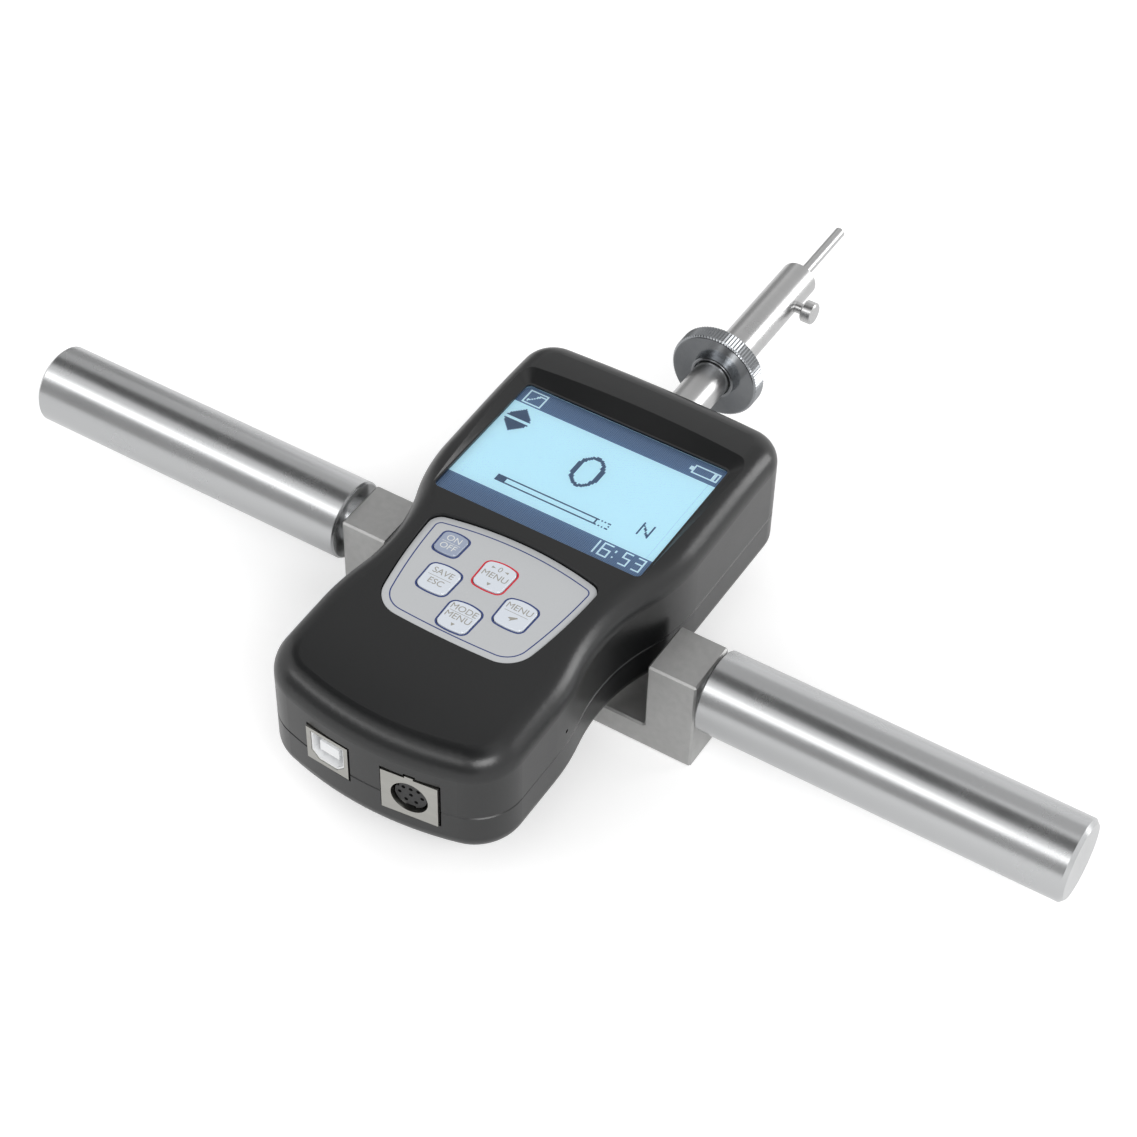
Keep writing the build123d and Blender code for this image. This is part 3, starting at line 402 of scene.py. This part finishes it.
# %% Give every node its material
finish_of = {
    housing_plastic: ["upper_housing", "lower_housing"],
    film_print: ["keypad_film"],
    key_white: ["key_zero", "key_save", "key_menu", "key_mode"],
    key_grey: ["key_power"],
    panel_tone: ["display_panel"],
    cover_clear: ["display_glass"],
    tray_white: ["display_backlight", "dome_sheet"],
    board_green: ["circuit_board", "socket_board"],
    cell_wrap: ["battery_pack"],
    socket_white: ["usb_insert"],
    socket_black: ["data_insert"],
    nickel_plate: ["usb_shell", "data_shell"],
    bracket_steel: ["bracket", "bracket_spacer"],
    handle_steel: ["left_handle", "right_handle"],
    rod_steel: ["sensor_rod", "adapter_sleeve", "probe_pin", "thumb_screw"],
    nut_steel: ["lock_nut"],
    milled_aluminium: ["load_cell", "chassis"],
    screw_steel: ["cell_screw", "bracket_screws", "case_screws", "board_screws",
                  "socket_board_screws", "handle_studs"],
}
for material, names in finish_of.items():
    for name in names:
        nodes[name].data.materials.clear()
        nodes[name].data.materials.append(material)
dressed = sum(len(names) for names in finish_of.values())
print(dressed, "of", len(nodes), "nodes dressed")

# %% [markdown]
# ## The knurled lock nut
# The nut's rim is straight-knurled: a wheel presses V-shaped grooves along the axis so that
# fingers can turn it. A bump map would leave the outline of the rim smooth, so the grooves are
# real: a circle whose every second point is pulled in, extruded along the axis, with plain rings
# for the chamfers and the dished face.

# %% Sizes of the knurled nut
knurl_teeth = 92
knurl_depth = 0.22 * MM
rim_radius = (nut_high.x - nut_low.x) / 2
hub_radius = 6.5 * MM
hub_length = 0.8 * MM
dish_depth = 0.9 * MM
bore_radius = (rod_high.x - rod_low.x) / 2 + 0.4 * MM
recess_radius, recess_mouth_radius = 4.05 * MM, 4.2 * MM
recess_taper = 3.0 * MM      # how far in from the front face the mouth narrows
rim_back = nut_low.y + hub_length
rim_front = nut_high.y
recess_floor = rim_back + 1.8 * MM

# %% Helpers to finish a bmesh and to grow a turned shape ring by ring
def finish_mesh(name, mesh, material, body):
    """Turns a mesh into an object that rides on a body."""
    mesh.materials.clear()
    mesh.materials.append(material)
    piece = bpy.data.objects.new(name, mesh)
    bpy.context.scene.collection.objects.link(piece)
    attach(piece, body)
    return piece


def finish_piece(name, bm, material, body):
    """Turns a bmesh into an object that rides on a body."""
    mesh = bpy.data.meshes.new(name)
    bm.to_mesh(mesh)
    bm.free()
    return finish_mesh(name, mesh, material, body)


def next_ring(bm, edges, station, radius, groove=0.0):
    """Extrudes an edge loop to a new ring about the measuring axis and returns its edges."""
    made = bmesh.ops.extrude_edge_only(bm, edges=edges)["geom"]
    ring = [item for item in made if isinstance(item, bmesh.types.BMVert)]
    for vert in ring:
        angle = math.atan2(vert.co.z, vert.co.x)
        tooth = round(angle / (math.pi / knurl_teeth))
        reach = radius - groove * (tooth % 2)
        vert.co = Vector((reach * math.cos(angle), station, reach * math.sin(angle)))
    return [item for item in made if isinstance(item, bmesh.types.BMEdge)]


# %% Make the knurled nut
bm = bmesh.new()
bmesh.ops.create_circle(bm, segments=2 * knurl_teeth, radius=bore_radius,
                        matrix=Matrix.Rotation(math.radians(90), 4, "X"))
for vert in bm.verts:
    vert.co.y = recess_floor
loop = bm.edges[:]
nut_rings = [
    # station along the axis, radius, depth of the grooves there
    (nut_low.y, bore_radius, 0),
    (nut_low.y, hub_radius - 0.5 * MM, 0),
    (nut_low.y + 0.15 * MM, hub_radius - 0.2 * MM, 0),
    (rim_back + dish_depth, hub_radius, 0),
    (rim_back, rim_radius - 0.7 * MM, 0),
    (rim_back + 0.1 * MM, rim_radius - 0.5 * MM, 0),
    (rim_back + 0.55 * MM, rim_radius, knurl_depth),
    (rim_front - 0.65 * MM, rim_radius, knurl_depth),
    (rim_front - 0.1 * MM, rim_radius - 0.6 * MM, 0),
    (rim_front, rim_radius - 0.8 * MM, 0),
    (rim_front, recess_mouth_radius, 0),
    (rim_front - recess_taper, recess_radius, 0),
    (recess_floor, recess_radius, 0),
    (recess_floor, bore_radius, 0),
]
for station, radius, groove in nut_rings:
    loop = next_ring(bm, loop, station, radius, groove)
seam_reach = 0.005 * MM      # closes the last ring on the first
bmesh.ops.remove_doubles(bm, verts=bm.verts, dist=seam_reach)
bmesh.ops.translate(bm, verts=bm.verts, vec=(0, 0, axis_height))
bmesh.ops.recalc_face_normals(bm, faces=bm.faces)
knurled_nut = finish_piece("knurled_lock_nut", bm, nut_steel, "nut")
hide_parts("lock_nut")
print("nut faces", len(knurled_nut.data.polygons))

# %% [markdown]
# ## Lines printed on the keypad film
# The film carries a thin navy line just inside its edge and an outline round each key. They follow
# the film's own outline, so they're taken from it: keep the film's top face, close the key holes,
# and inset the face twice. The strip between the two insets is the printed line.

# %% Take the top face of the film
ink_thickness = 0.012 * MM
ink_clearance = 0.004 * MM   # between the ink and what it is printed on
mesh_weld = 0.002 * MM
top_face_depth = 0.05 * MM   # faces this close to the film's top belong to it
looks_up = 0.9               # smallest upward part of such a face's normal
border_inset = 1.75 * MM
border_width = 0.32 * MM
outline_width = 0.42 * MM


def film_top():
    """The film's top face as a clean bmesh, without its sides and underside."""
    bm = bmesh.new()
    bm.from_mesh(nodes["keypad_film"].data)
    bmesh.ops.remove_doubles(bm, verts=bm.verts, dist=mesh_weld)
    lowest = film_height - top_face_depth
    other = [f for f in bm.faces if f.normal.z < looks_up or f.calc_center_median().z < lowest]
    bmesh.ops.delete(bm, geom=other, context="FACES")
    return bm


def rim_loops(bm):
    """The boundary of a flat mesh as separate loops of edges, longest first."""
    left = {edge for edge in bm.edges if edge.is_boundary}
    loops = []
    while left:
        stack = [left.pop()]
        loop = list(stack)
        while stack:
            edge = stack.pop()
            for vert in edge.verts:
                for neighbour in vert.link_edges:
                    if neighbour in left:
                        left.remove(neighbour)
                        stack.append(neighbour)
                        loop.append(neighbour)
        loops.append(loop)
    return sorted(loops, key=lambda loop: -sum(edge.calc_length() for edge in loop))


def only_loop(bm, keep):
    """Empties the mesh but for one loop, and fills that loop with a single face."""
    verts = {vert for edge in keep for vert in edge.verts}
    bmesh.ops.delete(bm, geom=bm.faces[:], context="FACES_ONLY")
    bmesh.ops.delete(bm, geom=[e for e in bm.edges if e not in set(keep)], context="EDGES")
    bmesh.ops.delete(bm, geom=[v for v in bm.verts if v not in verts], context="VERTS")
    face = bmesh.ops.contextual_create(bm, geom=bm.edges[:])["faces"][0]
    if face.normal.z < 0:
        face.normal_flip()
    return face


def printed_strip(bm, face, inset, width):
    """Keeps only the strip between two insets of a face, as a thin layer of ink."""
    if inset:
        bmesh.ops.inset_region(bm, faces=[face], thickness=inset, use_boundary=True)
        outer = [f for f in bm.faces if f is not face]
        bmesh.ops.delete(bm, geom=outer, context="FACES")
    strip = bmesh.ops.inset_region(bm, faces=[face], thickness=width, use_boundary=True)["faces"]
    bmesh.ops.delete(bm, geom=[f for f in bm.faces if f not in set(strip)], context="FACES")
    raise_ink(bm)


def raise_ink(bm):
    """Lifts flat faces clear of what they are printed on and gives them thickness."""
    bmesh.ops.translate(bm, verts=bm.verts, vec=(0, 0, ink_clearance))
    made = bmesh.ops.extrude_face_region(bm, geom=bm.faces[:])["geom"]
    top = [item for item in made if isinstance(item, bmesh.types.BMVert)]
    bmesh.ops.translate(bm, verts=top, vec=(0, 0, ink_thickness))
    bmesh.ops.recalc_face_normals(bm, faces=bm.faces)


# %% Print the border line
bm = film_top()
border_face = only_loop(bm, rim_loops(bm)[0])
printed_strip(bm, border_face, border_inset, border_width)
finish_piece("film_border_line", bm, outline_navy, "root")

# %% Print an outline round each key
# The hole's loop is grown first, so that the strip lies on the film beside the key.
for name in key_names:
    bm = film_top()
    middle = key_middle(name)
    holes = rim_loops(bm)[1:]

    def distance(loop):
        centre = sum((edge.verts[0].co for edge in loop), Vector()) / len(loop)
        return (centre - middle).length

    face = only_loop(bm, min(holes, key=distance))
    size = max((vert.co - middle).xy.length for vert in bm.verts)
    grow = 1 + outline_width / size
    bmesh.ops.scale(bm, verts=bm.verts, vec=(grow, grow, 1),
                    space=Matrix.Translation(-Vector((middle.x, middle.y, 0))))
    printed_strip(bm, face, 0, outline_width)
    tone = outline_red if name == "key_zero" else outline_navy
    finish_piece("outline_of_" + name, bm, tone, "root")
print("printed lines:", len(key_names) + 1)

# %% [markdown]
# ## Legends on the keys
# The keys carry short words in thin grey type. Blender's text object makes the letters, and it is
# turned into a mesh at once, because a finished piece keeps its place in its mesh.

# %% Helpers for lettering and small marks
def on_key(name, rise):
    """A place on a key's top face, a rise in millimetres from its middle."""
    return key_middle(name) + Vector((0, rise * MM, 0))


def key_ink(name):
    """The ink of a key's legend and the slot it belongs to."""
    return (legend_pale, "power_key") if name == "key_power" else (legend_grey, "keys")


def lettering(name, text, size, place, key):
    """Flat letters centred on a place on a key, with their back just clear of the surface."""
    curve = bpy.data.curves.new(name, "FONT")
    curve.body = text
    curve.size = size
    curve.align_x = "CENTER"
    curve.align_y = "CENTER"
    curve.extrude = ink_thickness / 2
    holder = bpy.data.objects.new(name, curve)
    bpy.context.scene.collection.objects.link(holder)
    bpy.context.view_layer.update()
    mesh = bpy.data.meshes.new_from_object(holder)
    bpy.data.objects.remove(holder)
    rise = Vector((0, 0, ink_clearance + ink_thickness / 2))
    mesh.transform(Matrix.Translation(Vector(place) + rise))
    tone, slot = key_ink(key)
    return finish_mesh(name, mesh, tone, key_body[key])


def flat_mark(name, corners, place, key):
    """A small flat polygon from a few corners in millimetres, printed at a place on a key."""
    bm = bmesh.new()
    verts = [bm.verts.new((place.x + x * MM, place.y + y * MM, place.z)) for x, y in corners]
    bmesh.ops.contextual_create(bm, geom=verts)
    bmesh.ops.recalc_face_normals(bm, faces=bm.faces)
    raise_ink(bm)
    tone, slot = key_ink(key)
    return finish_piece(name, bm, tone, key_body[key])


# %% Print the words
legend_size = 2.6 * MM
legends = {
    # key: its words, each with its rise from the key's middle in millimetres
    "key_power": [("ON", 1.35), ("OFF", -1.45)],
    "key_zero": [("MENU", -0.1)],
    "key_save": [("SAVE", 1.9), ("ESC", -1.5)],
    "key_menu": [("MENU", 1.8)],
    "key_mode": [("MODE", 2.2), ("MENU", -0.5)],
}
for name, lines in legends.items():
    for index, (word, rise) in enumerate(lines):
        lettering(f"legend_{name[4:]}_{index}", word, legend_size, on_key(name, rise), name)
print("words:", sum(len(lines) for lines in legends.values()))

# %% Print the lines, arrows and marks between the words
divider = [(-3.2, -0.06), (3.2, -0.06), (3.2, 0.06), (-3.2, 0.06)]
dividers = {
    # key: rise of its dividing line in millimetres, and the line's width as a share
    "key_power": (0.0, 0.8), "key_save": (0.2, 1.0), "key_menu": (0.2, 1.0), "key_mode": (0.9, 1.0),
}
for name, (rise, share) in dividers.items():
    corners = [(x * share, y) for x, y in divider]
    flat_mark(f"divider_{name[4:]}", corners, on_key(name, rise), name)
arrow_down = [(-0.55, 0.35), (0.55, 0.35), (0, -0.6)]
arrow_rise = -2.9
for name in ("key_zero", "key_mode"):
    flat_mark(f"arrow_{name[4:]}", arrow_down, on_key(name, arrow_rise), name)
zero_size = 2.3 * MM
zero_place = on_key("key_zero", 2.4)
lettering("legend_zero_mark", "0", zero_size, zero_place, "key_zero")
for side in (-1, 1):
    pointer = [(side * 1.2, 0), (side * 2.3, 0.35), (side * 2.3, -0.35)]
    flat_mark(f"pointer_zero_{side + 1}", pointer, zero_place, "key_zero")
tick = [(-1.1, -0.1), (-0.75, 0.2), (-0.3, -0.35), (1.0, 0.9), (1.2, 0.6), (-0.3, -0.95)]
tick_rise = -1.6
flat_mark("tick_menu", tick, on_key("key_menu", tick_rise), "key_menu")

# %% [markdown]
# ## What the display shows
# A dot-matrix display draws everything from square dots. The content is therefore kept as sets of
# dot places, and one grid mesh loses every dot that isn't in the set. Straight strokes and rings
# are worked out on that raster, so the figures get the stepped edges of the real thing.

# %% The display's raster
dots_across, dots_down = 132, 99
dot = 0.4594 * MM
dot_lift = 0.01 * MM
raster_left = window_centre.x - 0.5 * dots_across * dot
raster_foot = window_centre.y - 0.5 * dots_down * dot


def column(x_mm):
    """The dot column at a place in millimetres."""
    return round((x_mm * MM - raster_left) / dot)


def row(y_mm):
    """The dot row at a place in millimetres."""
    return round((y_mm * MM - raster_foot) / dot)


def filled(x_low, x_high, y_low, y_high):
    """Dots of a filled rectangle."""
    return {(c, r) for c in range(column(x_low), column(x_high))
            for r in range(row(y_low), row(y_high))}


def framed(x_low, x_high, y_low, y_high):
    """Dots of a rectangle's outline, one dot wide."""
    return filled(x_low, x_high, y_low, y_high) - {
        (c, r) for c in range(column(x_low) + 1, column(x_high) - 1)
        for r in range(row(y_low) + 1, row(y_high) - 1)}


def stroke(points):
    """Dots along a chain of straight strokes between places in millimetres."""
    dots = set()
    for (x0, y0), (x1, y1) in zip(points, points[1:]):
        steps = 2 * int(max(abs(x1 - x0), abs(y1 - y0)) * MM / dot) + 1
        for i in range(steps + 1):
            dots.add((column(x0 + (x1 - x0) * i / steps), row(y0 + (y1 - y0) * i / steps)))
    return dots


def dot_piece(name, dots, material):
    """A sheet of display dots, a hundredth of a millimetre above the panel."""
    bm = bmesh.new()
    middle = Vector((window_centre.x, window_centre.y, panel_top))
    bmesh.ops.create_grid(bm, x_segments=dots_across, y_segments=dots_down, size=0.5,
                          matrix=Matrix.Translation(middle) @ Matrix.Diagonal(
                              (dots_across * dot, dots_down * dot, 1, 1)))

    def place(face):
        centre = face.calc_center_median()
        return (math.floor((centre.x - raster_left) / dot),
                math.floor((centre.y - raster_foot) / dot))

    bmesh.ops.delete(bm, geom=[f for f in bm.faces if place(f) not in dots], context="FACES")
    bmesh.ops.translate(bm, verts=bm.verts, vec=(0, 0, dot_lift))
    return finish_piece(name, bm, material, "root")


# %% Figures drawn with strokes
lit_segments = {
    "1": ["upper_right", "lower_right"],
    "3": ["top", "middle", "bottom", "upper_right", "lower_right"],
    "5": ["top", "upper_left", "middle", "lower_right", "bottom"],
    "6": ["top", "upper_left", "middle", "lower_left", "lower_right", "bottom"],
}


def seven_strokes(figure, x, y, wide, tall):
    """A figure as a seven-segment display would draw it, as a chain of dots."""
    left, right, foot, top = x, x + wide, y, y + tall
    middle = y + tall / 2
    segments = {
        "top": [(left, top), (right, top)],
        "middle": [(left, middle), (right, middle)],
        "bottom": [(left, foot), (right, foot)],
        "upper_left": [(left, top), (left, middle)],
        "upper_right": [(right, top), (right, middle)],
        "lower_left": [(left, middle), (left, foot)],
        "lower_right": [(right, middle), (right, foot)],
    }
    return set().union(*(stroke(segments[segment]) for segment in lit_segments[figure]))


def ring_dots(x, y, half_wide, half_tall, thick):
    """Dots of an upright oval ring, a little thinner at its top and bottom."""
    thin = thick * 0.75
    dots = set()
    for c in range(dots_across):
        for r in range(dots_down):
            px = (raster_left + (c + 0.5) * dot) / MM - x
            py = (raster_foot + (r + 0.5) * dot) / MM - y
            outer = (px / half_wide) ** 2 + (py / half_tall) ** 2
            inner = (px / (half_wide - thick)) ** 2 + (py / (half_tall - thin)) ** 2
            if outer <= 1 <= inner:
                dots.add((c, r))
    return dots


# %% Light marks on the two dark bars: graph and battery icons, and the clock
bars = filled(-30.4, 30.4, 39.3, 45.8) | filled(-30.4, 30.4, 0.2, 9.0)
graph_icon = framed(-28.4, -22.9, 39.9, 44.6)
graph_icon |= stroke([(-27.6, 40.9), (-26.2, 42.0), (-25.4, 43.2), (-23.8, 43.6)])
battery_icon = framed(20.5, 27.9, 40.6, 44.0)
battery_icon |= filled(19.6, 20.5, 41.5, 43.1) | filled(26.2, 27.0, 41.3, 43.3)
clock_foot, figure_wide, figure_tall = 4.1, 2.1, 4.1
clock = filled(19.3, 19.8, 4.9, 5.4) | filled(19.3, 19.8, 6.9, 7.4)
for figure, x in (("1", 12.2), ("6", 15.6), ("5", 21.5), ("3", 25.2)):
    clock |= seven_strokes(figure, x, clock_foot, figure_wide, figure_tall)
light_marks = graph_icon | battery_icon | clock

# %% Dark marks: the reading, its unit, the bar graph and the two direction triangles
zero_figure = ring_dots(-0.7, 26.9, 4.0, 5.8, 1.3)
unit_mark = stroke([(20.1, 15.1), (20.1, 19.0), (22.9, 15.1), (22.9, 19.0)])
graph_left, graph_filled, graph_end, dashed_end = -18.7, -15.9, 10.1, 13.3
graph_foot, graph_top = 12.0, 14.3
bar_graph = framed(graph_left, graph_end, graph_foot, graph_top)
bar_graph |= filled(graph_left, graph_filled, graph_foot, graph_top)
for c in range(column(graph_end), column(dashed_end), 2):
    bar_graph |= {(c, row(graph_foot)), (c, row(graph_top) - 1)}
for r in range(row(graph_foot), row(graph_top), 2):
    bar_graph.add((column(dashed_end), r))
triangles = set()
triangle_steps, triangle_half, triangle_middle = 9, 3.6, -25.5
step_height = 0.46
upper_foot, lower_foot = 33.6, 32.6    # foot of the first step of each triangle
for step in range(triangle_steps):
    reach = triangle_half * (1 - step / triangle_steps)
    left, right = triangle_middle - reach, triangle_middle + reach
    for foot in (upper_foot + step * step_height, lower_foot - step * step_height):
        triangles |= filled(left, right, foot, foot + step_height)
ink_marks = zero_figure | bar_graph | unit_mark | triangles

# %% Make the three sheets of dots
dot_piece("display_bars", bars - light_marks, bar_tone)
dot_piece("display_light_marks", light_marks, light_tone)
dot_piece("display_ink", ink_marks, ink_tone)
print("display dots:", len(bars), len(light_marks), len(ink_marks))

# %% [markdown]
# ## Floor, light and camera
# Metal shows only what stands round it, so a metal object is lit as much by cards as by lamps.
# The set is a white floor that fades into a white backdrop, with three lamps that give the long
# highlights: a small one behind at the right, a broader one at the front right, and a strip across
# the front. A fourth, on the left, only fills, and reflections don't see it. Then come cards that
# only reflections see: a dark one overhead, without which the steel would look like paper, and
# grey ones behind, in front and at the left, which give the handles their bands.

# %% The floor
floor_size = 12.0
floor_grey = (0.84, 0.84, 0.84, 1.0)
white = (1.0, 1.0, 1.0, 1.0)
near_lift = 0.36             # glow that the camera sees beside the gauge, where the shadow stays
mirrored_lift = 0.135        # glow that reflections see
fade_start, fade_end = 0.22, 1.2    # distances over which the floor fades into the backdrop
bm = bmesh.new()
bmesh.ops.create_grid(bm, x_segments=1, y_segments=1, size=floor_size / 2)
floor_mesh = bpy.data.meshes.new("floor")
bm.to_mesh(floor_mesh)
bm.free()
floor = bpy.data.objects.new("floor", floor_mesh)
bpy.context.scene.collection.objects.link(floor)

# %% The floor's paint
floor_paint, floor_tree, floor_shader = start_material("floor_paint", 0.9)
floor_shader.inputs["Base Color"].default_value = floor_grey
floor_shader.inputs["Specular IOR Level"].default_value = 0.0
floor_path = floor_tree.nodes.new("ShaderNodeLightPath")
floor_distance = vector_maths(floor_tree, "LENGTH", object_place(floor_tree), output="Value")
floor_fade = spread(floor_tree, floor_distance, near_lift, 1.0, fade_start, fade_end)
floor_seen = maths(floor_tree, "MULTIPLY", floor_path.outputs["Is Camera Ray"], floor_fade)
floor_lift = maths(
    floor_tree, "MULTIPLY_ADD", floor_path.outputs["Is Glossy Ray"], mirrored_lift, floor_seen)
floor_shader.inputs["Emission Color"].default_value = white
floor_tree.links.new(floor_lift, floor_shader.inputs["Emission Strength"])
floor_mesh.materials.append(floor_paint)

# %% The world
world_light, world_seen_level = 0.58, 1.0    # what it lights with, and what is seen of it
world = bpy.data.worlds.new("studio")
bpy.context.scene.world = world
world.use_nodes = True
world_tree = world.node_tree
backdrop = world_tree.nodes["Background"]
backdrop.inputs["Color"].default_value = white
world_path = world_tree.nodes.new("ShaderNodeLightPath")
world_seen = world_path.outputs["Is Camera Ray"]
for ray in ("Is Glossy Ray", "Is Transmission Ray"):
    world_seen = maths(world_tree, "MAXIMUM", world_seen, world_path.outputs[ray])
world_level = spread(world_tree, world_seen, world_light, world_seen_level)
world_tree.links.new(world_level, backdrop.inputs["Strength"])


# %% Helpers for lamps and cards
gauge_middle = (0.0, 0.02, 0.03)


def facing_gauge(place):
    """Matrix that puts something at a place with its -Z towards the gauge."""
    turn = (Vector(gauge_middle) - Vector(place)).to_track_quat("-Z", "Y")
    return Matrix.Translation(place) @ turn.to_matrix().to_4x4()


def soft_light(name, place, wide, tall, power):
    """A rectangular soft light that points at the gauge."""
    lamp = bpy.data.lights.new(name, "AREA")
    lamp.shape = "RECTANGLE"
    lamp.size = wide
    lamp.size_y = tall
    lamp.energy = power
    holder = bpy.data.objects.new(name, lamp)
    holder.matrix_world = facing_gauge(place)
    bpy.context.scene.collection.objects.link(holder)
    return holder


def reflector_card(name, place, wide, tall, level):
    """A card that faces the gauge and that only reflections see."""
    bm = bmesh.new()
    bmesh.ops.create_grid(bm, x_segments=1, y_segments=1, size=0.5,
                          matrix=facing_gauge(place) @ Matrix.Diagonal((wide, tall, 1, 1)))
    mesh = bpy.data.meshes.new(name)
    bm.to_mesh(mesh)
    bm.free()
    material, tree, shader = start_material(name, 1.0)
    shader.inputs["Base Color"].default_value = (0.0, 0.0, 0.0, 1.0)
    shader.inputs["Specular IOR Level"].default_value = 0.0
    shader.inputs["Emission Color"].default_value = white
    shader.inputs["Emission Strength"].default_value = level
    mesh.materials.append(material)
    card = bpy.data.objects.new(name, mesh)
    bpy.context.scene.collection.objects.link(card)
    card.visible_camera = False
    card.visible_diffuse = False
    card.visible_shadow = False


# %% Place the lamps and cards
# each lamp: name, place, width, height, power in watts
soft_light("right_light", (0.82, 0.86, 0.42), 0.34, 0.64, 3.2)
soft_light("front_right_light", (0.66, -0.52, 0.78), 0.6, 0.4, 5.2)
soft_light("front_strip", (-0.45, -0.83, 0.86), 1.5, 0.3, 3.2)
left_light = soft_light("left_light", (-1.0, 0.25, 0.7), 0.7, 0.7, 2.0)
left_light.visible_glossy = False
# each card: name, place, width, height, brightness
reflector_card("dark_card", (-0.1, -0.14, 1.0), 2.6, 0.5, 0.1)
reflector_card("upper_back_card", (-0.1, 0.72, 0.98), 2.8, 0.8, 0.62)
reflector_card("front_card", (-0.25, -1.4, 0.6), 3.4, 1.2, 0.42)
reflector_card("left_back_card", (-1.1, 0.95, 0.3), 0.9, 0.9, 0.38)
print("lamps:", len(bpy.data.lights))

# %% The camera
camera_data = bpy.data.cameras.new("camera")
camera_data.lens = 83.8
camera_data.sensor_width = 36.0
camera = bpy.data.objects.new("camera", camera_data)
bpy.context.scene.collection.objects.link(camera)
camera_place = Vector((0.2367, -0.3793, 0.5020))
camera_ahead = Vector((-0.354, 0.5938, -0.7226)).normalized()
camera_right = Vector((0.8488, 0.5284, 0.0184)).normalized()
camera_up = camera_right.cross(camera_ahead).normalized()
camera_right = camera_ahead.cross(camera_up)
turn = Matrix((camera_right, camera_up, -camera_ahead)).transposed().to_4x4()
camera.matrix_world = Matrix.Translation(camera_place) @ turn
bpy.context.scene.camera = camera
bpy.context.scene.view_settings.view_transform = "Standard"
